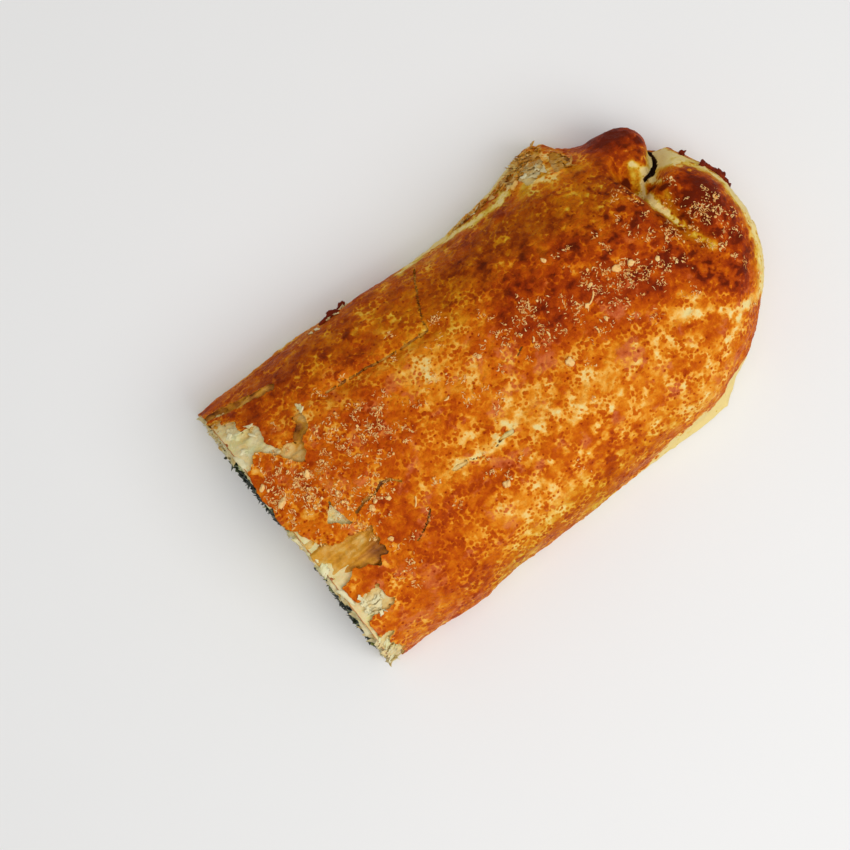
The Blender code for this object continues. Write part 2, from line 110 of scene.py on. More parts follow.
# Folds: points of the line, the depth at each, and how wide
FOLDS = {
    "valley": ([(231, 38), (233, 25), (235, 6), (238, -16)], [10.0, 9.5, 6.5, 1.5], 5.0),
    "gap": ([(236, 30), (244, 30), (254, 40)], [8.0, 11.0, 8.0], 4.2),
    "seam": ([(60, 44), (88, 40), (115, 36)], [1.8] * 3, 3.2),
}
# Knobs: place in space, radius, rise
KNOB = ((241.0, 48.0, 27.0), 13.0, 8.0)
BROKEN_LUMP = ((206.0, 69.0, 13.0), 12.0, 7.0)
BROAD_NOISE = (48.0, 2.2)
SMALL_NOISE = (19.0, 0.9)
NOISE_SHIFT = 500.0
RELIEF_FROM_Z = 8.0
RELIEF_FULL_Z = 22.0

# Rim of pale pastry pressed out along the base: how far it stands out at places along each side
LEFT_RIM = [
    (0, 1.5), (60, 2.0), (115, 0.5), (150, 2.5), (195, 4.5), (212, 5.5), (223, -1.5), (237, 1.5), (250, -4.0),
    (259, 1.5), (269, 2.0),
]
RIGHT_RIM = [(0, 0.5), (60, 0.5), (140, 1.5), (180, 4.5), (205, 6.5), (218, 3.0), (240, 3.0), (269, 3.0)]
RIM_Z = 4.0
RIM_HEIGHT = 5.0
RIM_PALE_Z = 9.0

# Filling and egg
FILL_CREST_Y = -16.0
FILL_LEFT = 70.5
FILL_RIGHT = 50.0
FILL_LOW = 5.5
FILL_MID = 9.0
FILL_TOP = 52.0
FILL_ROUNDNESS = 1.5
FILL_CAP_START = 165.0
FILL_END = 208.0
EGG_Y = -9.5
EGG_Z = 28.2
EGG_HALF_WIDTH = 24.0
EGG_HALF_HEIGHT = 20.6
EGG_DEPTH = 23.0
EGG_TILT = math.radians(-14)
YOLK_RADIUS = 15.8
YOLK_Y = -4.2
YOLK_Z = 28.6
YOLK_DEPTH = 14.5
FIT_GAP = 0.35

# Meshes
BASE_SPACING = 5.0
FACE_RINGS = 64
WALL_RINGS = 8
FINE_STEPS = 4001
CELL_SHIFT = 1000.0
UNTORN = 30.0
SNAP_SHARE = 0.75

# Tears, where the browned layer has flaked off: outline, depth, tone of the pastry below
TEARS = {
    "torn_corner": ([
        (-4, 68), (7, 67.5), (11, 67), (15, 63), (18.6, 58.8), (17, 55.6), (18.8, 54), (22.3, 53.3), (25, 52.7),
        (26, 50.3), (24.6, 47.3), (24.4, 41.3), (27, 36.5), (23.6, 37.5), (20.3, 42), (18, 42.9), (13.4, 38.5),
        (9.2, 35.8), (6, 34), (-4, 34),
    ], 2.0, 0.08),
    "hole": ([
        (26.5, 36.5), (30, 36.2), (35, 35.6), (39, 39.8), (41.6, 43.7), (44.4, 44), (46, 41.7), (44.1, 35.6),
        (40, 33.5), (38, 33), (36.6, 28), (33.6, 25), (30.4, 28), (27.4, 34),
    ], 2.6, 0.32),
    "golden_layer": ([
        (-4, 7), (9.9, 6.6), (12, 1.3), (14, -5), (15, -8.2), (19.2, -7.5), (20.4, -11.9), (26.7, -13.5),
        (31.3, -14.3), (37, -15.4), (39, -15.8), (38.8, -19.7), (38, -24.4), (39.3, -27.3), (37.3, -29.7),
        (33.6, -29.1), (31, -31.6), (25.6, -27.8), (21.3, -26.6), (17, -28), (12, -30), (-4, -31),
    ], 2.2, 0.44),
    "pale_corner": ([
        (-4, -37), (13, -38.5), (17.5, -39), (24, -37.5), (22.5, -43), (25, -48), (20, -50.5), (12, -48.6),
        (5, -49.5), (-4, -49),
    ], 2.0, 0.16),
    "low_corner": ([
        (-4, -58.5), (6, -58.5), (11, -57), (14, -60), (9.5, -63), (10, -67), (12, -71), (8, -76), (3, -79),
        (-4, -79),
    ], 1.8, 0.18),
    "three_sided_hole": ([(31, 4.5), (31.5, -2), (33, -9.8), (24, -3.2)], 3.0, 0.02),
    "lump_cream": ([(192, 66), (198, 72), (205, 73), (208, 68), (204, 62), (199, 60), (194, 61)], 1.4, 0.30),
    "lump_olive": ([(207, 57), (213, 55), (217, 58), (217, 64), (212, 67), (209, 63)], 1.2, 0.46),
    "lump_front": ([(186, 66), (189, 70), (193, 71), (191, 66)], 1.2, 0.42),
    "plate_left": ([(82, -19.3), (86, -19), (91, -20.4), (90, -21.6), (84, -21)], 0.35, 0.22),
    "plate_right": ([(106, -22), (112, -21.4), (116, -22.3), (115, -24), (110, -23.4)], 0.35, 0.22),
}
GOLDEN_DEPTHS = (2.1, 2.3)
TONE_PATCHES = [
    (34, -26, 6, 6, 0.24), (8, 3, 8, 7, -0.30), (10, 66, 7, 4, 0.30), (40, 39, 3, 6, 0.34), (10, -30, 4, 4, 0.2),
]
TEAR_RAGGEDNESS = [(5.0, 1.3), (1.9, 0.75)]

# Cracks in the crust: points, half width, depth, tone. The tone is the torn pastry's colour at the crack's floor, made
# darker as painted shade.
CRACKS = {
    "shoulder_seam": ([(60, 44), (71, 42.5), (81, 41), (88, 39.5), (100, 38), (114, 36.5)], 0.5, 0.75, 0.47),
    "shoulder_cross": ([(114, 36.5), (115, 42), (120, 51), (124, 58), (128, 64)], 0.42, 0.8, 0.45),
    "crest": ([(58.4, -5), (54, -4), (49, -6), (43.7, -5.4), (37.5, -7.3)], 0.7, 1.5, 0.56),
    "crest_tail": ([(58.4, -5), (62, -9)], 0.4, 0.9, 0.42),
    "short": ([(64, -27), (60, -30.5), (55, -33), (50, -34.5)], 0.38, 0.9, 0.52),
    "plate_edge": ([(92, -21), (98, -24), (104, -24), (110, -22.4)], 0.3, 0.7, 0.55),
    "hair": ([(142, 4), (138, 2)], 0.4, 1.0, 0.50),
    "flap_trough": ([(4, 70), (12, 69.5), (20, 67.6), (28, 65.2), (35, 63.7), (42, 62.6)], 1.5, 2.2, 0.46),
    # end_gap is filled near black: painted shade in the gap of the fold
    "end_gap": ([(251, 37), (248.5, 33), (245.6, 30.2), (242, 28.6), (237, 28.2)], 1.0, 5.5, 0.95),
}
CRACK_RAGGEDNESS = [(3.0, 0.3), (1.2, 0.15)]

# Layers of relief: height, size and seed of each noise
CRUST_GRAIN = [(0.36, 12.0, 1), (0.24, 4.2, 5), (0.11, 1.6, 9, 2)]
CUT_JAGS = [(0.9, 6.0, 71), (0.5, 2.0, 75)]
SHEET_WARP = [(1.5, 15.0, 101, 2), (0.5, 4.5, 105, 2)]
LIP_JAGS = [(0.5, 3.0, 131), (0.3, 8.0, 135)]

# Browning: place along and across, half sizes, turn in degrees, and how much browner or paler than the rest
BASE_BROWNING = 0.60
BROWNEST = 0.98
TOASTED = [
    (237, 54, 17, 17, 0, 0.44), (250, 6, 13, 18, 0, 0.46), (219, 12, 13, 15, 0, 0.16), (215, -8, 24, 14, 0, 0.12),
    (174, 23, 21, 18, 0, 0.10), (147, 22, 15, 13, 0, 0.08), (156, 54, 14, 10, 0, 0.14), (83, 51, 20, 10, 0, 0.10),
    (38, 66, 20, 9, 0, 0.10), (77, 17, 18, 13, 0, 0.06), (61, -45, 26, 19, 0, 0.08), (137, -64, 24, 9, 0, 0.08),
    (152, 12, 16, 11, 0, 0.07), (240, -33, 13, 12, 0, 0.10), (30, 58, 16, 6, 0, 0.10), (74, -7, 16, 12, 0, 0.09),
    (45, 52, 14, 7, 0, 0.09), (250, -26, 10, 14, 0, 0.24), (200, 0, 42, 24, 0, 0.10),
]
# The patch at 240, 43 is a painted highlight on the knob; the others make the pastry paler.
PALE_AND_PAINTED_HIGHLIGHT = [
    (209.6, -31.5, 8.5, 4, -39, 0.62), (237, -46, 8, 2.2, 2, 0.50), (224, -42, 4, 1.6, -34, 0.36),
    (222, -52, 6, 1.8, 26, 0.40), (240, 43, 4, 2.6, 0, 0.14), (139, -19, 34, 13, -8, 0.22),
    (216, -27.4, 5, 2.2, -39, 0.40), (98, -21.5, 18, 2.4, -6, 0.24), (160, -31, 22, 9, 10, 0.14),
    (173, -47, 24, 12, 6, 0.17), (84, -20, 26, 9, -6, 0.16), (98, -56, 22, 9, 0, 0.14), (112, -62, 20, 9, 0, 0.12),
    (76, -77, 13, 5, 0, 0.16), (127, -78, 11, 5, 0, 0.16), (101, 26, 20, 8, 0, 0.16), (117, 10, 20, 8, 0, 0.13),
    (196, -66, 22, 12, 0, 0.18), (34, -44, 12, 10, 0, 0.08), (204, 64, 15, 11, 0, 0.36),
]
OLIVE = [
    (130, 48, 40, 15, 0, 0.9), (212, 37, 24, 16, 0, 0.8), (60, 64, 50, 12, 0, 0.7), (178, 48, 26, 14, 0, 0.8),
    (232, 6, 7, 24, 0, 0.7), (186, 72, 12, 8, 0, 0.6), (120, -70, 60, 8, 0, 0.5), (76, -77, 14, 6, 0, 0.6),
    (127, -78, 12, 5, 0, 0.6),
]
STRONG_PATCH = 0.5
# Pale edges and folds: line, width, how much paler, how green the dough is there, and from and up to what height
ANY = (-99.0, 99.0)
PALE_LINES = [
    ([(236.6, 38), (238.2, 34), (240, 30)], 1.6, 0.52, 0.4, ANY),
    ([(235, 27.8), (233.1, 21.7), (231.8, 15), (232.6, 10.1)], 1.3, 0.60, 0.3, ANY),
    ([(231.4, 16), (233.6, 4.1), (235.2, -4.8), (238.5, -15.0)], 2.5, 0.48, 1.0, ANY),
    ([(235.7, 37.4), (232.4, 31.1), (230.9, 23.4), (231, 16.2)], 1.9, 0.32, 0.8, ANY),
    ([(241, 27), (239, 20), (237, 12)], 1.8, 0.30, 0.7, ANY),
    ([(254.1, 36.5), (252.2, 31.9), (249.6, 27.9)], 3.0, 0.62, 1.0, (14, 99)),
    ([(238, 30), (244, 30), (250, 35.5)], 3.2, 0.60, 0.9, (14, 99)),
    ([(251, 34), (255, 27), (260, 19), (263.5, 12), (265, 4), (266.5, -4)], 5.2, 0.60, 1.0, (20, 99)),
    ([(266.5, -4), (265.5, -11), (263.5, -20), (259.5, -28), (255.5, -37), (252, -45)], 6.4, 0.66, 0.9, (20, 99)),
    ([(220, -68), (211, -73.5), (203.4, -77.5), (194.4, -78), (184.7, -78), (172, -79)], 7.0, 0.70, 0.9, (-99, 28)),
    ([(122, 67.5), (138, 69.5), (152, 66.5), (163, 64.2), (178, 63.4), (183, 65.6)], 1.6, 0.45, 0.9, ANY),
]

# Cheese crumbs: centre along and across, spread along and across, how many fine crumbs
CRUMB_CLUSTERS = [
    (20, 20, 9, 8, 230), (33, 8, 10, 9, 110), (52, 16, 13, 9, 200), (44, -12, 11, 7, 60), (75, 20, 16, 10, 60),
    (108, 8, 22, 14, 70), (155, 6, 14, 8, 110), (178, -2, 12, 7, 80), (200, 4, 13, 9, 130), (222, 8, 5, 13, 80),
    (246, 2, 6, 11, 130), (120, -20, 60, 26, 110), (60, -40, 20, 14, 50), (214, -16, 16, 12, 60),
]
CRUMB_SIZES = (0.12, 0.30)
CRUMB_LENGTHS = (0.7, 2.6)
CRUMB_DUST = 0.35
CRUMB_SHARE = 1.35
CRUMB_FIELD = (9.0, 266.0)
HEAP_CRUMBS = 7
# The solid pastry's own crumbs, laid out as in its source: centre, spread and how many
SOLID_CRUMB_CLUSTERS = [
    (24, 22, 15, 12, 20), (48, 8, 16, 16, 16), (80, 14, 24, 14, 10), (247, 0, 8, 20, 14), (226, 6, 8, 22, 8),
    (170, 8, 30, 18, 12),
]
SOLID_CRUMB_FIELD = (14.0, 256.0, 52.0)
SOLID_CRUMB_SPACING = 1.5
SOLID_CRUMB_SIZES = (1.1, 1.9)
SOLID_BIG_CRUMBS = [(22, 30), (25, 14), (53, -11), (36, -15), (160, -20), (186, 10)]
SOLID_BIG_CRUMB_SIZE = 2.3
SOLID_CRUMB_SEED = 11
# Larger crumbs: place along and across, size
BIG_CRUMBS = [
    (31, 20, 1.5), (11, 28, 1.6), (14, 17, 2.1), (44, -10, 1.5), (47, -9, 1.1), (154, -15, 2.2), (98, -40, 2.0),
    (124, 12, 1.2), (174, 28, 1.1), (42, -26, 1.3), (197, 4, 1.6), (203, 2, 1.5), (214, -4, 1.3), (183, 6, 1.2),
    (176, 0, 1.2), (179, -10, 1.1), (53, -11, 1.2),
]
# Shreds: place along and across, length, turn in degrees, curl
SHREDS = [
    (180, 1, 7.5, 20, 0.9), (173, -12, 3.0, 70, 0.4), (155, 1, 3.0, 60, 0.3), (75, 22, 2.6, 10, 0.3),
    (101, 7, 3.2, -15, 0.5), (61, -20, 5.2, 35, 0.4), (66, 18, 2.6, -20, 0.3), (148, 3, 2.8, 30, 0.5),
    (30, 12, 2.4, 60, 0.6), (24, 26, 2.2, 15, 0.4),
]
SHRED_RADIUS = 0.42

# Cut face of the pastry
LAYER_PITCH = 1.25
FLAKY_WIDTH = 10.0
TURN_GAP_RING = 0.46
TURN_GAP_WIDTH = 0.07
TURN_GAP_FROM = math.radians(25)
TURN_GAP_TO = math.radians(128)
TURN_GAP_FADE = 0.3
TURN_GAP_DEPTH = 7.0
LIP_REACH = 11.0
LIP_STEPS = 16
LEAST_Z = 0.15

# Pieces in the filling: the stalk's path across and up, and for each onion its place, sizes and turn
STALK_PATH = [(52.0, 9.5), (43.0, 9.8), (35.0, 11.0), (28.0, 15.0), (24.5, 20.5)]
STALK_RADIUS = 1.15
ONIONS = {
    "onion_piece_1": (33.0, 15.5, 11.0, 5.0, 3.6, math.radians(24)),
    "onion_piece_2": (21.5, 22.0, 8.5, 4.4, 3.2, math.radians(-52)),
}
ONION_BEND = 1.6
ONION_PROUD = 0.5
# Pale films that lie on the cut: across, up, length, width, turn
FILMS = [(5.5, 14, 12, 9, 0.5), (-41, 27, 13, 7.5, 1.2), (-47, 20, 9, 6, 0.4), (50, 14.5, 13, 7, 2.6)]

# Flakes: centre along and across, spread along and across, least and most length, tone, how many
FLAKE_PATCHES = [
    (198, 71, 6, 4, 2.5, 7.0, 0.36, 40), (206, 73, 6, 3, 2.5, 6.5, 0.42, 24), (201, 66, 5, 4, 2.5, 6.5, 0.14, 16),
    (213, 60, 3, 4, 2.5, 6.0, 0.42, 12), (187, 68, 4, 3, 2.0, 5.5, 0.38, 20), (168, 70, 12, 1.6, 2.0, 6.0, 0.42, 40),
    (164, 70, 12, 1.2, 2.0, 5.0, 0.10, 14), (46, 46, 1.2, 1.6, 2.5, 4.0, 0.06, 3), (13, 50, 6, 9, 2.0, 5.0, 0.03, 9),
    (17, -45, 5, 5, 2.5, 6.0, 0.05, 18), (8, -66, 3, 6, 2.0, 5.0, 0.08, 12), (84, 72, 9, 1.2, 2.0, 5.0, 0.10, 12),
]
# Burnt scraps: place along and across, length
BURNT_BITS = [
    (264, 14, 5.5), (265, 12.5, 4.5), (266, 11, 5.5), (266.5, 9, 4.5), (267, 7, 5.0), (267.5, 4.5, 4.0),
    (262, 17, 4.0), (268, 2, 4.0), (259, 27, 4.0), (80, 72, 5.0), (85, 72, 6.5), (90, 73, 5.5),
]

# Colours: places from 0 to 1 in a run of colours, and plain ones
BAKED_STOPS = [
    (0.00, (0.88, 0.69, 0.28)), (0.13, (0.93, 0.58, 0.17)), (0.27, (0.90, 0.41, 0.055)), (0.41, (0.80, 0.255, 0.010)),
    (0.55, (0.66, 0.140, 0.002)), (0.70, (0.50, 0.070, 0.001)), (0.86, (0.32, 0.031, 0.001)),
    (1.00, (0.15, 0.012, 0.001)),
]
DOUGH_STOPS = [
    (0.00, (0.80, 0.73, 0.45)), (0.25, (0.78, 0.56, 0.21)), (0.45, (0.68, 0.30, 0.018)), (0.62, (0.42, 0.14, 0.008)),
    (0.80, (0.17, 0.040, 0.005)), (1.00, (0.04, 0.012, 0.003)),
]
SPINACH_STOPS = [
    (0.00, (0.004, 0.007, 0.004)), (0.30, (0.012, 0.022, 0.010)), (0.50, (0.040, 0.062, 0.018)),
    (0.68, (0.12, 0.17, 0.035)), (0.84, (0.42, 0.46, 0.11)), (1.00, (0.72, 0.74, 0.45)),
]
CHEESE_STOPS = [
    (0.05, (0.92, 0.70, 0.32)), (0.40, (0.88, 0.53, 0.18)), (0.75, (0.78, 0.34, 0.07)), (1.00, (0.50, 0.14, 0.02)),
]
PLAIN_TINT = (1.0, 1.0, 1.0, 1.0)
OLIVE_TINT = (0.80, 1.12, 0.72, 1.0)
DOUGH_TINT = (0.94, 0.99, 0.86, 1.0)
# A pinkish tan mixed into the crust as painted sheen, where the glaze would reflect a soft light
PAINTED_SHEEN_TONE = (0.68, 0.16, 0.05, 1.0)
ONION_TONES = [(0.62, 0.66, 0.42, 1.0), (0.86, 0.87, 0.72, 1.0), (0.40, 0.44, 0.16, 1.0)]
WHITE_TONES = [(0.86, 0.90, 0.80, 1.0), (0.76, 0.83, 0.66, 1.0), (0.55, 0.62, 0.34, 1.0), (0.05, 0.07, 0.02, 1.0)]
YOLK_TONES = [
    (0.95, 0.77, 0.13, 1.0), (0.94, 0.66, 0.006, 1.0), (0.95, 0.84, 0.36, 1.0), (0.90, 0.84, 0.42, 1.0),
    (0.10, 0.09, 0.02, 1.0),
]

# The camera of the photograph: straight down over the loaf
CAMERA_ALONG = 86.0
CAMERA_ACROSS = 3.9
CAMERA_HEIGHT = 750.0
CAMERA_TURN = -39.0
VIEW_WIDTH = 416.5
SENSOR = 36.0

# Lights and floor, in metres
KEY_PLACE = (0.35, -1.0, 1.15)
KEY_SIZE = 1.1
TOP_PLACE = (-0.05, -0.15, 1.9)
TOP_SIZE = 1.8
FLOOR_HALF = 3.0
DAYLIGHT_COLOUR = (1.0, 0.99, 0.97, 1.0)


def signed_power(value, exponent):
    return np.sign(value) * np.abs(value) ** exponent


def hill(distance, width):
    """1 where the distance is nought, falling away evenly on both sides."""
    return np.exp(-((distance / width) ** 2))


def fade(value, start, length):
    """From 0 at the start to 1 a length further on, or back where the length is below zero."""
    return np.clip((value - start) / length, 0, 1)


def bump(along, across, spec):
    """A soft rise or fall centred at a place on the loaf."""
    centre_along, centre_across, half_long, half_wide, rise = spec
    reach = ((along - centre_along) / half_long) ** 2 + ((across - centre_across) / half_wide) ** 2
    return rise * np.exp(-reach)


def distance_to_line(along, across, line, values=None):
    """Distance to a line of points, and the value that the nearest place on the line has."""
    nearest, value = np.full(np.shape(along), 1e9), np.zeros(np.shape(along))
    values = values or [0.0] * len(line)
    for (start, end), (first, last) in zip(zip(line, line[1:]), zip(values, values[1:])):
        run = np.subtract(end, start)
        share = ((along - start[0]) * run[0] + (across - start[1]) * run[1]) / (run @ run)
        share = np.clip(share, 0.0, 1.0)
        far = np.hypot(along - start[0] - share * run[0], across - start[1] - share * run[1])
        value = np.where(far < nearest, first + (last - first) * share, value)
        nearest = np.minimum(nearest, far)
    return nearest, value


def ball(points, spec):
    """A rounded knob that swells round a point in space."""
    centre, radius, rise = spec
    return rise * hill(np.linalg.norm(points - np.array(centre), axis=-1), radius)


def lumps(points, size, height):
    """Smooth uneven swelling of the given size and height."""
    values = np.array([noise.noise(Vector(p)) for p in points.reshape(-1, 3) / size])
    return height * values.reshape(points.shape[:-1])


def cut_along(across, up):
    """Where the slanting cut lies: it leans back towards the top."""
    return CUT_LEAN * up + CUT_SKEW * (RIGHT_WIDTHS[0][1] + across)


def outline(angle, left, right, low, mid, top, roundness_left, roundness_right):
    """One cross-section: a dome over a flat base with rounded lower corners."""
    cosine, sine = np.cos(angle), np.sin(angle)
    roundness = np.where(cosine > 0, roundness_left, roundness_right)
    upper = sine >= 0
    spread = np.where(upper, 2.0 / roundness, 2.0 / BASE_SQUARENESS)
    across = signed_power(cosine, spread) * np.where(cosine > 0, left, right)
    dome = mid + (top - mid) * np.abs(sine) ** (2.0 / roundness)
    base = mid - BASE_DROP * (mid - low) * np.abs(sine) ** (2.0 / BASE_SQUARENESS)
    return across, np.where(upper, dome, np.maximum(base, low))


def smooth_loaf(run, angle):
    """Points of the loaf before its relief. run goes 0 to 1 along the body and 1 to 2 round the folded end."""
    body = np.clip(run, 0.0, 1.0)
    left = np.interp(CAP_START * body, *zip(*LEFT_WIDTHS)) - CREST_Y
    right = np.interp(CAP_START * body, *zip(*RIGHT_WIDTHS)) + CREST_Y
    across, up = outline(angle, left, right, 0.0, WIDEST_Z, HEIGHT, LEFT_ROUNDNESS, RIGHT_ROUNDNESS)
    across = across + CREST_Y
    start = cut_along(across, up)
    turn = np.sin(np.clip(run - 1.0, 0.0, 1.0) * math.pi / 2)
    along = start + (CAP_START - start) * body + (LENGTH - CAP_START) * turn

    def narrowed(power, root):
        return (1 - turn**power) ** (1 / root)

    left_scale, right_scale = (narrowed(power, power) for power in (CAP_LEFT_POWER, CAP_RIGHT_POWER))
    top_scale, base_scale = narrowed(CAP_TOP_POWER, CAP_TOP_ROUND), narrowed(CAP_BASE_POWER, CAP_BASE_POWER)
    across = TIP_Y + (across - TIP_Y) * np.where(across > TIP_Y, left_scale, right_scale)
    up = TIP_Z + (up - TIP_Z) * np.where(up > TIP_Z, top_scale, base_scale)
    return np.stack(np.broadcast_arrays(along, across, up), axis=-1)


def rim_reach(points):
    """How far the base rim stands out at each place along the loaf."""
    left, right = (np.interp(points[..., 0], *zip(*rim)) for rim in (LEFT_RIM, RIGHT_RIM))
    return np.where(points[..., 1] > TIP_Y, left, right)


def crust_relief(points):
    """How far the crust rises or falls along its own normal."""
    along, across, up = np.moveaxis(points, -1, 0)
    rise = lumps(points, *BROAD_NOISE) + lumps(points + NOISE_SHIFT, *SMALL_NOISE)
    for spec in HUMPS:
        rise = rise + bump(along, across, spec)
    for line, depths, width in FOLDS.values():
        nearest, depth = distance_to_line(along, across, line, depths)
        rise = rise - depth * hill(nearest, width)
    above_base = fade(up, RELIEF_FROM_Z, RELIEF_FULL_Z - RELIEF_FROM_Z)
    return rise * above_base + ball(points, KNOB) + ball(points, BROKEN_LUMP)


def unit(vectors, least=1e-9):
    return vectors / np.maximum(np.linalg.norm(vectors, axis=-1, keepdims=True), least)


def skin(run, angle):
    """Points of the loaf's surface, and the way it faces there."""
    step = 1e-3
    here = smooth_loaf(run, angle)
    forward = smooth_loaf(np.minimum(run + step, LAST_RUN), angle) - smooth_loaf(run - step, angle)
    turned = smooth_loaf(run, angle + step) - smooth_loaf(run, angle - step)
    facing = unit(np.cross(turned, forward))
    flat_base = here[..., 2:3] < FLAT_BASE_MARGIN
    points = here + facing * crust_relief(here)[..., None] * np.where(flat_base, 0.0, 1.0)
    sideways = unit(facing * np.array([1.0, 1.0, 0.0]), 0.3)
    points = points + sideways * (rim_reach(here) * hill(here[..., 2] - RIM_Z, RIM_HEIGHT))[..., None]
    points[..., 2] = np.where(flat_base[..., 0], 0.0, np.maximum(points[..., 2], 0.0))
    return points, facing


def filling_outline(angle, grow=0.0):
    """Cross-section of the filling."""
    left, right, top = FILL_LEFT + grow, FILL_RIGHT + grow, FILL_TOP + grow * 1.6
    across, up = outline(angle, left, right, FILL_LOW - grow, FILL_MID, top, FILL_ROUNDNESS, FILL_ROUNDNESS)
    return across + FILL_CREST_Y, up


def egg_outline(angle, grow=0.0):
    y = (EGG_HALF_WIDTH + grow) * np.cos(angle)
    z = (EGG_HALF_HEIGHT + grow) * np.sin(angle)
    across = EGG_Y + y * math.cos(EGG_TILT) - z * math.sin(EGG_TILT)
    return across, EGG_Z + y * math.sin(EGG_TILT) + z * math.cos(EGG_TILT)


def yolk_outline(angle, grow=0.0):
    return YOLK_Y + (YOLK_RADIUS + grow) * np.cos(angle), YOLK_Z + (YOLK_RADIUS + grow) * np.sin(angle)


def hashed(cells, seed):
    """Even random numbers from 0 to 1, one for each whole-number cell."""
    mixed = cells[..., 0] * 73856093 ^ cells[..., 1] * 19349663 ^ cells[..., 2] * 83492791 ^ seed * 668265263
    mixed = (mixed ^ (mixed >> 13)) * 1274126177 & 0xFFFFFFFF
    mixed = (mixed ^ (mixed >> 15)) * 668265263 & 0xFFFFFFFF
    return ((mixed ^ (mixed >> 14)) & 0xFFFFFF) / 0xFFFFFF


def cells_of(points, size):
    """Each point's place in cells of the given size, and the cell that holds it."""
    place = points / size + CELL_SHIFT
    return place, np.floor(place).astype(np.int64)


def soft_noise(points, size, seed=0):
    """Smooth noise from -1 to 1 whose lumps have the given size."""
    place, cell = cells_of(points, size)
    part = place - cell
    part = part * part * (3 - 2 * part)
    total = np.zeros(points.shape[:-1])
    for corner in itertools.product((0, 1), repeat=3):
        share = np.prod(np.where(np.array(corner) == 1, part, 1 - part), axis=-1)
        total += share * hashed(cell + np.array(corner), seed)
    return 2 * total - 1


def rough_noise(points, size, seed, octaves=3):
    """Layered noise: each layer is half the size and a little over half the height of the last."""
    total, height = np.zeros(points.shape[:-1]), 1.0
    for octave in range(octaves):
        total += height * soft_noise(points, size / 2**octave, seed + octave)
        height *= 0.55
    return total


def layered(points, layers):
    """Several noises added up, each given as its height and then its size and seed."""
    return sum(height * rough_noise(points, *kind) for height, *kind in layers)


def ridges(points, stretch, *kind):
    """Sharp ridges up to 1 high, drawn out by the stretch along each direction."""
    return 1.0 - 2.0 * np.abs(rough_noise(points * np.array(stretch), *kind))


def blisters(points, size, share, seed):
    """Round domes from 0 to 1, scattered unevenly. share is how many cells hold one."""
    place, cell = cells_of(points, size)
    dome = np.zeros(points.shape[:-1])
    for corner in itertools.product((-1, 0, 1), repeat=3):
        near = cell + np.array(corner)
        centre = near + np.stack([hashed(near, seed + k) for k in range(3)], axis=-1)
        radius = 0.25 + 0.3 * hashed(near, seed + 3)
        reach = np.linalg.norm(place - centre, axis=-1) / radius
        dome = np.maximum(dome, np.where(hashed(near, seed + 4) < share, 1 - reach**2, 0.0))
    return np.sqrt(np.maximum(dome, 0.0))


def inside_distance(along, across, corners):
    """Distance to a closed outline, below zero inside it."""
    nearest, inside = np.full(np.shape(along), 1e9), np.zeros(np.shape(along), bool)
    for start, end in zip(corners, corners[1:] + corners[:1]):
        nearest = np.minimum(nearest, distance_to_line(along, across, [start, end])[0])
        if start[1] != end[1]:
            between = (start[1] > across) != (end[1] > across)
            crossing = start[0] + (across - start[1]) * (end[0] - start[0]) / (end[1] - start[1])
            inside ^= between & (along < crossing)
    return np.where(inside, -nearest, nearest)


def even_steps(values, lengths, spacing):
    """Values spaced so that each step is about the given length."""
    walked = np.concatenate([[0.0], np.cumsum(lengths)])
    count = max(2, int(round(walked[-1] / spacing)))
    return np.interp(np.linspace(0, walked[-1], count + 1), walked, values)


def ring_angles(spacing):
    """Angles round the loaf: close together over the crust, wide apart under the base."""
    fine = np.linspace(0, math.tau, FINE_STEPS)
    ring = smooth_loaf(np.array([0.5]), fine)
    steps = np.linalg.norm(np.diff(ring, axis=0), axis=-1)
    under = (ring[1:, 2] < FLAT_BASE_MARGIN) & (ring[:-1, 2] < FLAT_BASE_MARGIN)
    return even_steps(fine, np.where(under, steps * spacing / BASE_SPACING, steps), spacing)[:-1]


def ring_runs(spacing):
    """Runs along the loaf, an even step apart on average over the crust."""
    fine = np.linspace(0, LAST_RUN, 3001)
    lines = smooth_loaf(fine[:, None], np.radians([10.0, 50.0, 90.0, 130.0, 170.0])[None, :])
    return even_steps(fine, np.linalg.norm(np.diff(lines, axis=0), axis=-1).mean(axis=1), spacing)


def grid_steps(grid):
    """How a grid's values change from row to row, and from point to point round each row."""
    return np.gradient(grid, axis=0), (np.roll(grid, -1, 1) - np.roll(grid, 1, 1)) / 2


def make_piece(name, points, faces, material, layers=None, face_materials=None, sharp=None):
    """A mesh object from points in the loaf's millimetres, with one value a point for each named layer."""
    moved = np.asarray(points, float) - np.array([ORIGIN_ALONG, ORIGIN_ACROSS, 0.0])
    inside = np.clip(moved, CAD_BOX[0] + BOX_MARGIN, CAD_BOX[1] - BOX_MARGIN)
    data = bpy.data.meshes.new(name)
    data.from_pydata((inside * MM).tolist(), [], [list(face) for face in faces])
    for one in material if isinstance(material, list) else [material]:
        data.materials.append(one)
    if face_materials is not None:
        data.polygons.foreach_set("material_index", np.asarray(face_materials, np.int32))
    for layer, values in (layers or {}).items():
        data.attributes.new(layer, "FLOAT", "POINT").data.foreach_set("value", np.asarray(values, np.float32))
    data.shade_smooth()
    if sharp:
        data.set_sharp_from_angle(angle=math.radians(sharp))
    made = bpy.data.objects.new(name, data)
    bpy.context.scene.collection.objects.link(made)
    data.update()
    return made


def settle(piece, slot, *nodes):
    """Fixes a piece to the loaf and hides the solids that it stands for."""
    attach(piece, "root")
    if nodes:
        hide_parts(*nodes)


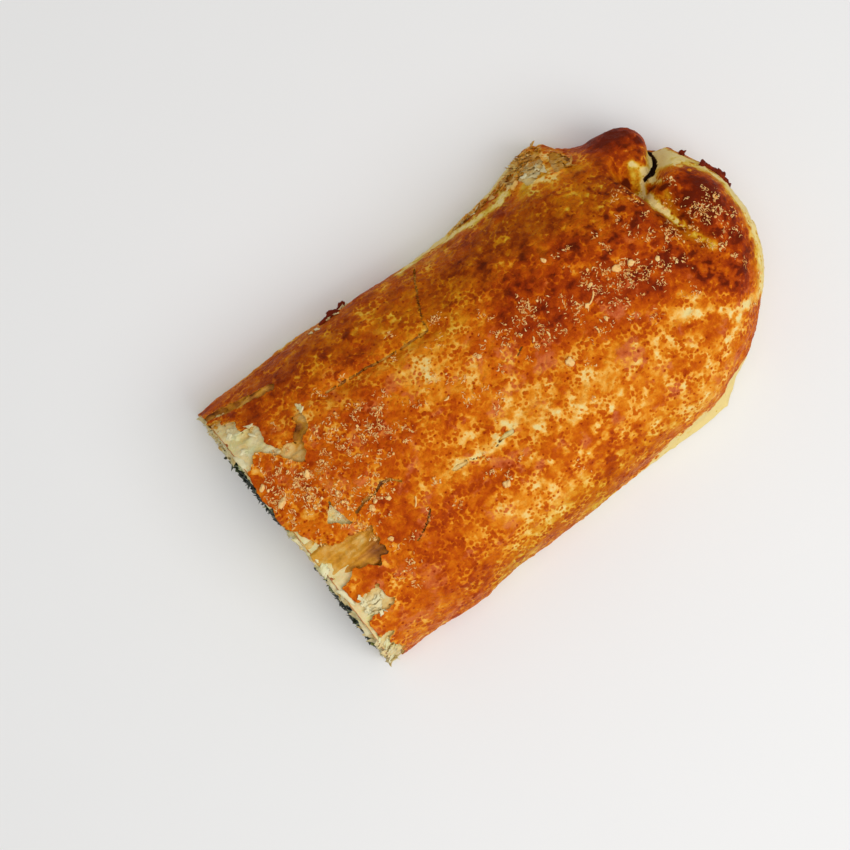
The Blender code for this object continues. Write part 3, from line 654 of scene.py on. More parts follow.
class Crust:
    """The loaf's surface as one fine grid: browned crust, torn places, and the values that colour them."""

    def __init__(self, spacing):
        self.runs = ring_runs(spacing)
        self.base, self.facing = skin(self.runs[:, None], ring_angles(spacing)[None, :])
        self.along, self.across, self.up = np.moveaxis(self.base, -1, 0)
        self.on_top = (self.facing[..., 2] > -0.2) & (self.up > 3.0)
        self.find_tears()
        self.snap_edges()
        self.shape()
        self.recess_cut()
        self.colour()

    def find_tears(self):
        """Distance to the nearest torn place, below zero in it, with the depth and tone of that place."""
        self.reach = np.full(self.along.shape, UNTORN)
        self.depth = np.full(self.along.shape, 2.0)
        self.tone = np.zeros(self.along.shape)
        ragged = [height * rough_noise(self.base, size, 40) for size, height in TEAR_RAGGEDNESS]
        fine = sum(height * rough_noise(self.base, size, 50) for size, height in CRACK_RAGGEDNESS)
        for corners, depth, tone in TEARS.values():
            spread = min(np.ptp(np.array(corners), axis=0).min() / 16.0, 1.0)
            rough = ragged[0] * spread**2 + ragged[1] * spread
            self.include(inside_distance(self.along, self.across, corners) + rough, depth, tone)
        # Crack floors take their darker tone as painted shade.
        for line, half_width, depth, tone in CRACKS.values():
            far, _ = distance_to_line(self.along, self.across, line)
            self.include(far - half_width + fine * half_width * 1.3, depth, tone)
        self.reach = np.where(self.on_top, self.reach, UNTORN)

    def include(self, reach, depth, tone):
        closer = reach < self.reach
        self.depth = np.where(closer, depth, self.depth)
        self.tone = np.where(closer, tone, self.tone)
        self.reach = np.minimum(reach, self.reach)

    def snap_edges(self):
        """Moves grid points near an edge of a torn place onto it, so that the edge is clean."""
        reach, torn = self.reach, self.reach < 0
        changes = (torn != np.roll(torn, 1, 1)) | (torn != np.roll(torn, -1, 1))
        changes[:-1] |= torn[:-1] != torn[1:]
        changes[1:] |= torn[:-1] != torn[1:]
        down, across = grid_steps(reach)
        steep = down**2 + across**2 + 1e-6
        shift_down, shift_round = -reach * down / steep, -reach * across / steep
        self.on_edge = changes & (np.maximum(np.abs(shift_down), np.abs(shift_round)) < SNAP_SHARE)
        shift_down[[0, -1]] = 0.0
        step_down, step_round = grid_steps(self.base)
        moved = self.base + step_down * shift_down[..., None] + step_round * shift_round[..., None]
        self.base = np.where(self.on_edge[..., None], moved, self.base)
        slope = step_down * (down / np.maximum((step_down**2).sum(-1), 1e-3))[..., None]
        self.uphill = unit(slope + step_round * (across / np.maximum((step_round**2).sum(-1), 1e-3))[..., None])
        self.along, self.across, self.up = np.moveaxis(self.base, -1, 0)

    def shape(self):
        """Places of the browned layer and of the pastry under it at every grid point."""
        p, up, depth = self.base, self.up, self.depth
        flank = fade(up, 34.0, -20.0) * fade(up, 2.0, 6.0)
        domes, small_domes = blisters(p, 7.0, 0.22, 11), blisters(p, 3.2, 0.34, 17)
        far_end = fade(self.along, 190.0, 30.0) * (self.across < -18)
        rise = layered(p, CRUST_GRAIN) + 0.5 * domes + 0.26 * small_domes
        rise = rise + 0.42 * flank * ridges(p, (0.16, 0.7, 1.0), 4.0, 21, 2)
        rise = rise + 0.5 * far_end * ridges(p, (0.5, 0.35, 1.0), 5.0, 25, 2)
        lump = ball(p, (BROKEN_LUMP[0], 15.0, 1.0)) * (up > 5.0)
        rise = rise + lump * (2.4 * np.abs(rough_noise(p, 6.0, 27)) - 0.8)
        edge = np.exp(-np.maximum(self.reach, 0) / 2.4) * self.on_top
        lift = edge * (0.25 + 0.55 * np.clip(rough_noise(p, 9.0, 31) + 0.3, 0, 1.2)) * np.clip(depth / 1.8, 0.2, 1)
        rise = (rise + lift) * np.where(up < 1.5, 0.15, 1.0) - 0.25
        self.blistered = np.clip(domes + 0.7 * small_domes, 0, 1)
        self.crust = p + self.facing * rise[..., None]
        golden = fade(self.tone, 0.3, 0.15) * (depth > GOLDEN_DEPTHS[0]) * (depth < GOLDEN_DEPTHS[1])
        leaf = ridges(p, (0.25, 1.0, 1.0), 3.6, 61)
        folds = np.abs(rough_noise(p * np.array([0.16, 1.0, 0.6]), 5.0, 67, 2)) - 0.25
        flaky = (0.55 - 0.3 * golden) * leaf + (0.34 - 0.2 * golden) * rough_noise(p, 2.6, 65) + 3.4 * golden * folds
        under = rise - depth + flaky * np.clip(depth / 2.2, 0.4, 1.2)
        under = np.minimum(under, rise - np.clip(depth * 0.6, 0.22, 0.5))
        self.dough = p + self.facing * under[..., None]
        tuck = (0.5 + 0.5 * np.clip(depth / 2.0, 0, 1))[..., None]
        self.dough = np.where(self.on_edge[..., None], self.dough + self.uphill * tuck, self.dough)
        # The flaky relief is kept for the torn pastry's colour, where its dips get painted shade.
        self.flaky = flaky * (1 - 0.85 * golden)

    def recess_cut(self):
        """Works the top edge at the cut back and forth: it stands out at the left and is broken away at the right."""
        across, up = self.across[:1], self.up[:1]
        broken = 2.5 * hill(across + 40.0, 13.0) + 2.0 * hill(across + 62.0, 12.0)
        back = (broken - 2.2 * hill(across - 18.0, 16.0)) * fade(up, 14.0, 24.0)
        back = back + layered(self.base[:1], CUT_JAGS) * fade(up, 0.0, 10.0)
        shift = back * np.clip(1.0 - (self.along - cut_along(across, up)) / 34.0, 0, 1) ** 2
        for layer, share in ((self.crust, 1.0), (self.dough, 0.75)):
            layer[..., 0] += shift * share

    def colour(self):
        """Browning, olive tint and paleness of the edge at every grid point."""
        base, along, across, up = self.base, self.along, self.across, self.up
        browning, olive = BASE_BROWNING + 0.07 * rough_noise(base, 24.0, 81), np.zeros(along.shape)
        ragged = np.clip(1 + 1.2 * rough_noise(base, 4.0, 87), 0.25, 3.0)
        for specs, target, sign in ((TOASTED, browning, 1), (PALE_AND_PAINTED_HIGHLIGHT, browning, -1), (OLIVE, olive, 1)):
            for centre_along, centre_across, half_long, half_wide, turn, strength in specs:
                cosine, sine = math.cos(math.radians(turn)), math.sin(math.radians(turn))
                away_along, away_across = along - centre_along, across - centre_across
                long = (away_along * cosine + away_across * sine) / half_long
                wide = (away_across * cosine - away_along * sine) / half_wide
                uneven = ragged if strength < STRONG_PATCH else ragged**0.5
                target += sign * strength * np.exp(-(long**2 + wide**2) * uneven)
        level = up + 7.0 * rough_noise(base, 7.0, 91)
        for line, width, strength, green, (low, high) in PALE_LINES:
            share = np.exp(-((distance_to_line(along, across, line)[0] / width) ** 2) * ragged**0.5)
            share = share * np.clip((level - low) / 6.0 + 0.5, 0.15, 1) * np.clip((high - level) / 6.0 + 0.5, 0, 1)
            browning -= strength * share
            olive += green * share
        rim = fade(rim_reach(base), 0.0, 4.0) * fade(up, RIM_PALE_Z, -3.5)
        browning = browning - 0.75 * rim - 0.16 * fade(level, 11.0, -8.0)
        over = np.maximum(browning - BROWNEST + 0.1, 0)
        browning = np.minimum(browning, BROWNEST - 0.1) + 0.2 * (1 - np.exp(-over / 0.2))
        self.browning = np.clip(np.where(up < 0.8, 0.62, browning), -0.05, 1.0)
        self.olive = np.clip(olive + 0.5 * rim, 0, 1)
        self.edge = np.exp(-np.maximum(self.reach, 0) / 0.8) * self.on_top
        scorched = np.exp(np.minimum(self.reach, 0) / 0.9) * np.clip(0.5 + rough_noise(base, 3.0, 89), 0, 1)
        self.tone = self.tone + sum(bump(along, across, spec) for spec in TONE_PATCHES)
        self.tone = self.tone + 0.10 * rough_noise(base, 4.0, 85) + 0.26 * scorched

    def triangles(self, first, last):
        """Crust and dough triangles of the rows from first to last, as grid indices, with both diagonals in use."""
        columns = self.reach.shape[1]
        a, b, c, d = ring_quads(np.arange(first, last), columns)
        edge = self.on_edge.ravel()
        reach = np.where(edge, 0.0, self.reach.ravel())
        other = ((edge[b] & edge[d]) & ~(edge[a] & edge[c]))[..., None]
        one = np.where(other, np.stack([a, b, d], -1), np.stack([a, b, c], -1))
        two = np.where(other, np.stack([b, c, d], -1), np.stack([a, c, d], -1))
        faces = np.concatenate([one.reshape(-1, 3), two.reshape(-1, 3)])
        torn = reach[faces].sum(axis=1) < -1e-9
        return faces[~torn], faces[torn]

    def piece(self, name, first, last, materials):
        """One stretch of the loaf's surface, with thin walls where browned crust meets torn pastry."""
        columns = self.reach.shape[1]
        crust, dough, facing, uphill = (
            grid.reshape(-1, 3) for grid in (self.crust, self.dough, self.facing, self.uphill)
        )
        (crust_ids, crust_faces), (dough_ids, dough_faces) = (compact(part) for part in self.triangles(first, last))
        rim = shared_edges(crust_ids[crust_faces], dough_ids[dough_faces], len(crust))
        lip_ids, lip = compact(rim)
        lip_points = crust[lip_ids] - facing[lip_ids] * 0.55 + uphill[lip_ids] * 0.1
        points, sources = [crust[crust_ids], dough[dough_ids], lip_points], [crust_ids, dough_ids, lip_ids]
        starts = np.cumsum([0, *map(len, sources)])
        middle, low = lip + starts[2], np.searchsorted(dough_ids, rim) + starts[1]
        walls = np.concatenate([wall(np.searchsorted(crust_ids, rim), middle), wall(middle, low)])
        groups, kinds = [crust_faces, dough_faces + starts[1], walls], [0, 1, 1]
        if first == 0:
            front_points, front = self.front_lip(crust_ids, dough_ids, starts)
            points.append(front_points)
            groups.append(front)
            kinds.append(1)
        if last == len(self.runs) - 1:
            ring = last * columns + np.arange(columns)
            around, tip = np.searchsorted(crust_ids, ring), np.full(columns, sum(map(len, points)))
            points.append([crust[ring].mean(axis=0)])
            sources.append(ring[:1])
            groups.append(np.stack([around, np.roll(around, -1), tip], -1))
            kinds.append(0)
        layers = {}
        for layer in ("browning", "olive", "edge", "tone", "flaky", "blistered"):
            values = [getattr(self, layer).ravel()[ids] for ids in sources]
            if first == 0:
                values.append(np.full(len(front_points), 0.45 if layer == "tone" else 0.0))
            layers[layer] = np.concatenate(values)
        kinds = np.concatenate([np.full(len(group), kind) for group, kind in zip(groups, kinds)])
        made = make_piece(name, np.concatenate(points), np.concatenate(groups), materials, layers, kinds, sharp=50)
        self.smooth_seams(made, crust_ids, first, last)
        return made

    def front_lip(self, crust_ids, dough_ids, starts):
        """Thin front edge of the sheets at the cut, turned in under them."""
        columns = np.arange(self.reach.shape[1])
        in_crust = np.isin(columns, crust_ids)
        top = np.where(in_crust, np.searchsorted(crust_ids, columns), np.searchsorted(dough_ids, columns) + starts[1])
        edge, facing = np.where(in_crust[:, None], self.crust[0], self.dough[0]), self.facing[0]
        lower, inner = edge - facing * [0.0, 0.7, 0.7], edge - facing * 2.4 + [3.0, 0.0, 0.0]
        middle = columns + starts[3]
        outer, under, inside = (np.stack([r, np.roll(r, -1)], -1) for r in (top, middle, middle + len(columns)))
        return np.concatenate([lower, inner]), np.concatenate([band(under, outer), band(inside, under)])

    def smooth_seams(self, piece, crust_ids, first, last):
        """Gives the rows where two stretches meet the same normals, so that no line shows."""
        step_down, step_round = grid_steps(self.crust)
        normals = unit(np.cross(step_round, step_down)).reshape(-1, 3)
        wanted = np.zeros((len(piece.data.vertices), 3))
        row = crust_ids // self.reach.shape[1]
        calm = (self.reach.ravel()[crust_ids] > 1.2) & (((row == first) & (first > 0)) | (row == last))
        wanted[: len(crust_ids)][calm] = normals[crust_ids[calm]]
        piece.data.normals_split_custom_set_from_vertices(wanted.tolist())


def compact(faces):
    """The point numbers that some faces use, in order, and the faces in terms of those."""
    ids, local = np.unique(faces, return_inverse=True)
    return ids, local.reshape(np.shape(faces))


def shared_edges(first_faces, second_faces, count):
    """Edges, in the first faces' direction, where the second faces continue."""
    mine, theirs = (
        np.concatenate([faces[:, [0, 1]], faces[:, [1, 2]], faces[:, [2, 0]]]) for faces in (first_faces, second_faces)
    )
    return mine[np.isin(mine[:, 0] * count + mine[:, 1], theirs[:, 1] * count + theirs[:, 0])]


def wall(upper, lower):
    """Two triangles for each edge between an upper and a lower line."""
    one = np.stack([upper[:, 1], upper[:, 0], lower[:, 0]], -1)
    return np.concatenate([one, np.stack([upper[:, 1], lower[:, 0], lower[:, 1]], -1)])


def band(near, far):
    """Triangles between two rings given as pairs of neighbours."""
    one = np.stack([near[:, 0], near[:, 1], far[:, 1]], -1)
    return np.concatenate([one, np.stack([near[:, 0], far[:, 1], far[:, 0]], -1)])


def ring_quads(rows, columns):
    """The four corners of each quad over closed rings, from each given row to the next."""
    i, j = np.meshgrid(rows, np.arange(columns), indexing="ij")
    k = (j + 1) % columns
    return i * columns + j, i * columns + k, (i + 1) * columns + k, (i + 1) * columns + j


def ring_faces(rows, columns):
    return np.stack(ring_quads(np.arange(rows - 1), columns), -1).reshape(-1, 4)


def loft(rings, first_tip=None, last_tip=None):
    """A surface through rings of points, closed by a tip at either end."""
    rings = np.asarray(rings, float)
    rows, columns = rings.shape[:2]
    points, faces = [rings.reshape(-1, 3)], ring_faces(rows, columns).tolist()
    around = [(k, (k + 1) % columns) for k in range(columns)]
    count, start = rows * columns, (rows - 1) * columns
    if first_tip is not None:
        points.append([first_tip])
        faces += [[count, b, a] for a, b in around]
        count += 1
    if last_tip is not None:
        points.append([last_tip])
        faces += [[a + start, b + start, count] for a, b in around]
    return np.concatenate(points), faces


def with_tips(values, *tips):
    """Values of a loft's rings, flat, followed by those of its tips."""
    return np.concatenate([np.ravel(values), tips])


def merge(parts):
    """Joins several meshes, each given as points and faces."""
    points, faces, start = [], [], 0
    for some_points, some_faces in parts:
        points.append(some_points)
        faces += [[index + start for index in face] for face in some_faces]
        start += len(some_points)
    return np.concatenate(points), faces


def frames(normals, turns):
    """For each normal, two directions square to it, turned by an angle, and the normal itself, as columns."""
    up = unit(np.asarray(normals, float))
    side = unit(np.cross(up, np.array([0.93, 0.31, 0.19])))
    first = np.cross(side, up) * np.cos(turns)[:, None] + side * np.sin(turns)[:, None]
    return np.stack([first, np.cross(up, first), up], axis=-1)


def turned(normals, draw):
    """Frames on the normals, each turned at random."""
    return frames(normals, draw.uniform(0, math.tau, len(normals)))


def drawn(draw, count, *ranges):
    """Columns of random numbers, one for each range."""
    return np.column_stack([draw.uniform(*limits, count) for limits in ranges])


def placed(local, turns, places):
    """Turns each small mesh and moves it to its place."""
    return (np.einsum("nij,nvj->nvi", turns, local) + np.asarray(places)[:, None, :]).reshape(-1, 3)


def repeated(faces, count, size):
    """The same faces for each of several meshes of one size."""
    starts = np.arange(count) * size
    return [[index + start for index in face] for start in starts.tolist() for face in faces]


def thin_sheets(places, turns, sizes, bends, draw, steps, ragged=0.25):
    """Thin closed scraps: a curved sheet with a ragged edge at each place. Sizes are length, width, thickness."""
    n, m = steps
    count = len(places)
    u, v = np.linspace(-1, 1, n)[None, :, None], np.linspace(-1, 1, m)[None, None, :]
    length, width, thickness = (size[:, None, None] for size in sizes.T)
    long = u * (1 + ragged * draw.uniform(-1, 1, (count, 1, m)))
    taper = draw.uniform(-0.7, 0.7, (count, 1, 1))
    wide = v * (1 + taper * u) * (1 + ragged * draw.uniform(-1, 1, (count, n, 1)))
    wide = wide + ragged * 0.6 * draw.uniform(-1, 1, (count, n, 1))
    long = long + draw.uniform(-0.5, 0.5, (count, 1, 1)) * v
    rise = np.asarray(bends)[:, None, None] * (u**2 - 0.4 + 0.6 * v * draw.uniform(-1, 1, (count, 1, 1)))
    rise = rise + 0.12 * width * draw.uniform(-1, 1, (count, n, m))
    half = thickness / 2 * (1 - 0.7 * np.maximum(np.abs(u), np.abs(v)) ** 4)
    sides = [np.stack([long * length / 2, wide * width / 2, z], -1) for z in (rise + half, rise - half)]
    points = placed(np.concatenate([side.reshape(count, n * m, 3) for side in sides], axis=1), turns, places)
    return points, repeated(sheet_faces(n, m), count, 2 * n * m)


def sheet_faces(n, m):
    """Faces of one thin sheet: its upper side, its lower side and its edge."""
    under, corners = n * m, [i * m + j for i, j in itertools.product(range(n - 1), range(m - 1))]
    upper = [[k, k + m, k + m + 1, k + 1] for k in corners]
    lower = [[under + k for k in reversed(face)] for face in upper]
    loop = [i * m for i in range(n)] + [(n - 1) * m + j for j in range(1, m)]
    loop += [i * m + m - 1 for i in range(n - 2, -1, -1)] + list(range(m - 2, 0, -1))
    return upper + lower + [[b, a, under + a, under + b] for a, b in zip(loop, loop[1:] + loop[:1])]


def strands(places, turns, lengths, radii, curls, draw, rings=5, sides=5):
    """Short curled strands with rounded ends."""
    count = len(places)
    t = np.linspace(-0.97, 0.97, rings)[None, :]
    lengths, radii, curls = (np.asarray(value, float)[:, None] for value in (lengths, radii, curls))
    y = curls * (t**2 - 0.4) + 0.5 * curls * t * draw.uniform(-1, 1, (count, 1))
    z = radii * 0.5 * draw.uniform(-1, 1, (count, rings))
    thick = radii * (1 - t**4) ** 0.5 * (1 + 0.3 * draw.uniform(-1, 1, (count, rings)))
    angle = np.linspace(0, math.tau, sides, endpoint=False)[None, None, :]
    ring_y, ring_z = (at[..., None] + thick[..., None] * side for at, side in ((y, np.cos(angle)), (z, np.sin(angle))))
    along = (t * lengths / 2)[..., None]
    local = np.stack(np.broadcast_arrays(along, ring_y, ring_z), -1).reshape(count, rings * sides, 3)
    ends = [list(range(sides))[::-1], list(range((rings - 1) * sides, rings * sides))]
    faces = ring_faces(rings, sides)[:, ::-1].tolist() + ends
    return placed(local, turns, places), repeated(faces, count, rings * sides)


def ball_shape(subdivisions):
    shape = bmesh.new()
    bmesh.ops.create_icosphere(shape, subdivisions=subdivisions, radius=1.0)
    shape.verts.index_update()
    points = np.array([v.co[:] for v in shape.verts])
    faces = [[v.index for v in face.verts] for face in shape.faces]
    shape.free()
    return points, faces


def lumpy_balls(places, turns, sizes, draw, subdivisions, uneven):
    """Uneven rounded crumbs. Sizes are the three half lengths."""
    shape, faces = ball_shape(subdivisions)
    shifted = shape[None] + draw.uniform(0, 90, (len(places), 1, 3))
    swell = 1 + uneven * soft_noise(shifted, 0.7, 3) + 0.5 * uneven * soft_noise(shifted, 0.3, 4)
    local = shape[None] * swell[..., None] * np.asarray(sizes)[:, None, :]
    return placed(local, turns, places), repeated(faces, len(places), len(shape))


class Shading:
    """Adds nodes to a node tree. Inputs are given as numbers, colours or other nodes' outputs."""

    def __init__(self, tree):
        self.tree = tree

    def add(self, kind, inputs=None, output=0, **settings):
        node = self.tree.nodes.new("ShaderNode" + kind)
        for name, value in settings.items():
            setattr(node, name, value)
        for name, value in (inputs or {}).items():
            if isinstance(value, bpy.types.NodeSocket):
                self.tree.links.new(value, node.inputs[name])
            else:
                node.inputs[name].default_value = value
        return node.outputs[output]

    def math(self, operation, first, second=0.0, third=0.0):
        return self.add("Math", {0: first, 1: second, 2: third}, operation=operation)

    def scaled(self, value, factor, added):
        """A value times a factor, with something added."""
        return self.math("MULTIPLY_ADD", value, factor, added)

    def smooth(self, value, low, high, to_low=0.0, to_high=1.0):
        inputs = {"Value": value, "From Min": low, "From Max": high, "To Min": to_low, "To Max": to_high}
        return self.add("MapRange", inputs, interpolation_type="SMOOTHSTEP")

    def noise(self, place, size, detail=2.0, roughness=0.5, output=0):
        inputs = {"Vector": place, "Scale": 1.0 / size, "Detail": detail, "Roughness": roughness}
        return self.add("TexNoise", inputs, output)

    def vector(self, operation, *inputs):
        return self.add("VectorMath", dict(enumerate(inputs)), operation=operation)

    def blend(self, share, first, second, mode="MIX"):
        return self.add("Mix", {0: share, 6: first, 7: second}, 2, data_type="RGBA", blend_type=mode)

    def ramp(self, value, stops):
        """A smooth run of colours. Each stop is a place from 0 to 1 and a linear colour."""
        colour = self.add("ValToRGB", {"Fac": value})
        elements = colour.node.color_ramp.elements
        while len(elements) < len(stops):
            elements.new(0.5)
        for element, (place, tone) in zip(elements, stops):
            element.position = place
            element.color = (*tone, 1.0)
        return colour

    def layer(self, name):
        """One of the mesh's own named values."""
        return self.add("Attribute", output=2, attribute_type="GEOMETRY", attribute_name=name)

    def place(self):
        """The point on the object, in millimetres."""
        return self.add("VectorMath", {0: self.add("TexCoord", output=3), "Scale": 1 / MM}, operation="SCALE")

    def bump(self, height, distance, normal=None):
        inputs = {"Height": height, "Distance": distance * MM, "Strength": 1.0}
        return self.add("Bump", {**inputs, "Normal": normal} if normal else inputs)

    def use(self, group, inputs):
        """A node group placed in this tree. Gives its outputs by name."""
        return self.add("Group", inputs, node_tree=group()).node.outputs

    def grain(self, place, fineness):
        return self.use(fine_grain, {"Place": place, "Fineness": fineness})["Height"]

    def pastry(self, place, crevice):
        return self.use(inner_pastry, {"Place": place, "Tone": self.layer("tone"), "Crevice": crevice})

    def flecks(self, place, density):
        return self.use(leaf_flecks, {"Place": place, "Density": density})["Mask"]


FLOAT, COLOUR, VECTOR = "NodeSocketFloat", "NodeSocketColor", "NodeSocketVector"


def node_group(name, inputs, outputs):
    """Turns a function that fills a group into one that gives the group, made once and then reused."""

    def wrap(fill):
        @functools.lru_cache
        def group():
            tree = bpy.data.node_groups.new(name, "ShaderNodeTree")
            tree.interface.new_socket(name="Place", in_out="INPUT", socket_type=VECTOR)
            for socket, default in inputs.items():
                made = tree.interface.new_socket(name=socket, in_out="INPUT", socket_type=FLOAT)
                made.default_value = default
            for socket, kind in outputs.items():
                tree.interface.new_socket(name=socket, in_out="OUTPUT", socket_type=kind)
            enter, leave = tree.nodes.new("NodeGroupInput"), tree.nodes.new("NodeGroupOutput")
            for socket, value in fill(Shading(tree), enter.outputs).items():
                tree.links.new(value, leave.inputs[socket])
            return tree

        return group

    return wrap


@node_group(
    "Oven browning",
    {"Browning": 0.5, "Olive": 0.0, "Spot Size": 1.0, "Patchiness": 0.55},
    {"Color": COLOUR, "Spots": FLOAT, "Film": FLOAT},
)
def oven_browning(s, given):
    """Cloudy patches, round toasted spots that run together where the crust is browner, and patches of painted sheen.
    """
    place, amount, size = given["Place"], given["Browning"], given["Spot Size"]
    wobble = s.vector("SUBTRACT", s.noise(place, 3.2, 3.0, output=1), (0.5,) * 3)
    bent, half_bent = (s.vector("MULTIPLY_ADD", wobble, (much,) * 3, place) for much in (2.6, 1.1))
    patches = s.math("SUBTRACT", s.noise(place, 12.0, 3.0, 0.55), 0.5)
    clouds = s.math("SUBTRACT", s.noise(bent, 4.4, 5.0, 0.64), 0.5)
    level = s.scaled(clouds, 0.72, s.scaled(patches, given["Patchiness"], amount))
    radius = s.scaled(level, 0.70, 0.16)
    cells = {"Vector": half_bent, "Scale": s.math("DIVIDE", 1 / 1.9, size), "Smoothness": 0.2}
    far = s.add("TexVoronoi", cells, feature="SMOOTH_F1")
    spots = s.smooth(s.math("SUBTRACT", radius, far), -0.12, 0.18)
    netted = s.smooth(s.noise(place, 8.0, 2.0), 0.40, 0.62)
    depth = s.math("MULTIPLY", netted, s.math("SUBTRACT", 1.25, level))
    value = s.scaled(s.scaled(spots, 0.42, -0.27), depth, level)
    dot = s.add("TexVoronoi", {"Vector": half_bent, "Scale": s.math("DIVIDE", 1 / 2.5, size)})
    reach = s.smooth(dot.node.outputs[1], 0.50, 0.60, -0.1, 0.18)
    reach = s.scaled(s.noise(place, 5.0, 1.0), 0.18, reach)
    dots = s.smooth(s.math("SUBTRACT", reach, dot), -0.04, 0.12)
    dots = s.math("MULTIPLY", dots, s.smooth(value, 0.95, 0.50))
    value = s.scaled(dots, 0.26, value)
    green = s.math("MULTIPLY", given["Olive"], s.smooth(value, -0.04, 0.30))
    # Painted sheen: pinkish patches mixed into the colour where the glaze would reflect the light. The same mask also
    # sets the coat's real gloss.
    gloss_and_painted_sheen = s.smooth(s.noise(place, 11.0, 4.0, 0.6), 0.54, 0.64)
    gloss_and_painted_sheen = s.math("MULTIPLY", gloss_and_painted_sheen, s.smooth(value, 0.30, 0.45))
    gloss_and_painted_sheen = s.math("MULTIPLY", gloss_and_painted_sheen, s.smooth(s.math("ADD", value, given["Olive"]), 0.85, 0.60))
    with_painted_sheen = s.blend(s.math("MULTIPLY", gloss_and_painted_sheen, 0.42), s.ramp(value, BAKED_STOPS), PAINTED_SHEEN_TONE)
    tinted = s.blend(1.0, with_painted_sheen, s.blend(green, PLAIN_TINT, OLIVE_TINT), "MULTIPLY")
    return {"Color": tinted, "Spots": spots, "Film": gloss_and_painted_sheen}


@node_group("Inner pastry", {"Tone": 0.1, "Crevice": 0.0}, {"Color": COLOUR, "Height": FLOAT})
def inner_pastry(s, given):
    """Cream to golden, streaked along the loaf, with painted shade darkening its crevices."""
    place = given["Place"]
    streaks = s.noise(s.vector("MULTIPLY", place, (0.4, 1.0, 1.0)), 2.6, 4.0, 0.6)
    value = s.scaled(s.math("SUBTRACT", streaks, 0.5), 0.34, given["Tone"])
    value = s.scaled(s.math("SUBTRACT", s.noise(place, 5.0, 3.0), 0.5), 0.34, value)
    # Painted shade: the crevice value darkens the colour.
    value = s.scaled(given["Crevice"], 0.35, value)
    tint = s.blend(s.smooth(s.noise(place, 8.0, 2.0), 0.48, 0.66), PLAIN_TINT, DOUGH_TINT)
    colour = s.blend(1.0, s.ramp(value, DOUGH_STOPS), tint, "MULTIPLY")
    return {"Color": colour, "Height": s.noise(place, 0.9, 4.0, 0.65)}


@node_group("Fine grain", {"Fineness": 1.0}, {"Height": FLOAT})
def fine_grain(s, given):
    """Grain at a size and a third of it, for bumps and slight changes of gloss."""
    scales = given["Fineness"], s.math("MULTIPLY", given["Fineness"], 3.0)
    coarse, fine = (s.add("TexNoise", {"Vector": given["Place"], "Scale": x, "Detail": 2.0}) for x in scales)
    return {"Height": s.scaled(fine, 0.4, s.math("MULTIPLY", coarse, 0.6))}


@node_group("Leaf flecks", {"Density": 0.4}, {"Mask": FLOAT})
def leaf_flecks(s, given):
    """Sparse flecks of chopped leaf, given as a mask."""
    far = s.add("TexVoronoi", {"Vector": given["Place"], "Scale": given["Density"]})
    wanted = s.smooth(s.noise(given["Place"], 3.0, 2.0), 0.50, 0.60)
    return {"Mask": s.math("MULTIPLY", s.smooth(far, 0.10, 0.04), wanted)}


def finish(name, **constants):
    """Turns a function into one that makes a Principled material.

    The function gives what the sockets are linked to: the base colour, the roughness, the normal and any others.
    The constants are what the rest are set to.
    """

    def wrap(fill):
        def made(*settings):
            result = bpy.data.materials.new(name)
            result.use_nodes = True
            shader, links = result.node_tree.nodes["Principled BSDF"], result.node_tree.links
            for socket, value in constants.items():
                shader.inputs[socket.replace("_", " ")].default_value = value
            shading = Shading(result.node_tree)
            linked = fill(shading, shading.place(), *settings)
            for socket, value in zip(("Base Color", "Roughness", "Normal", "Coat Weight"), linked):
                links.new(value, shader.inputs[socket])
            return result

        return made

    return wrap


@finish("baked_crust", Coat_Roughness=0.25, Specular_IOR_Level=0.045)
def crust_material(s, place):
    browning = s.scaled(s.layer("edge"), -0.10, s.scaled(s.layer("blistered"), 0.10, s.layer("browning")))
    baked = s.use(oven_browning, {"Place": place, "Browning": browning, "Olive": s.layer("olive")})
    grain = s.grain(place, 1.6)
    gloss = s.smooth(s.noise(place, 14.0, 3.0), 0.35, 0.65)
    roughness = s.scaled(gloss, -0.16, s.scaled(grain, 0.12, 0.50))
    coat = s.math("MULTIPLY", baked["Film"], 0.14)
    return baked["Color"], roughness, s.bump(s.scaled(baked["Spots"], 0.5, grain), 0.5), coat


@finish("torn_pastry", Coat_Weight=0.12, Coat_Roughness=0.3, Specular_IOR_Level=0.2)
def torn_material(s, place):
    # Painted shade: the dips of the torn pastry are darkened.
    inner = s.pastry(place, s.smooth(s.layer("flaky"), 0.0, -0.9, 0.0, 0.45))
    return inner["Color"], s.scaled(inner["Height"], 0.2, 0.42), s.bump(inner["Height"], 0.6)


@finish("cut_pastry", Subsurface_Weight=0.12, Subsurface_Scale=0.002, Specular_IOR_Level=0.2)
def layers_material(s, place):
    """The cut pastry: browned at its rim, flaky inside it, smooth and pale by the filling, with painted shade in its
    gaps.
    """
    inner = s.pastry(place, s.layer("crevice"))
    baked = s.use(oven_browning, {"Place": place, "Browning": 0.62, "Olive": 0.2})
    colour = s.blend(s.layer("rim"), inner["Color"], baked["Color"])
    pores = s.grain(place, 1.2)
    return colour, s.scaled(pores, 0.3, 0.36), s.bump(inner["Height"], 0.4, s.bump(pores, 0.25))


@finish("loose_flakes", Specular_IOR_Level=0.2)
def flake_material(s, place):
    inner = s.pastry(place, 0.0)
    return inner["Color"], s.scaled(inner["Height"], 0.3, 0.4), s.bump(inner["Height"], 0.25)


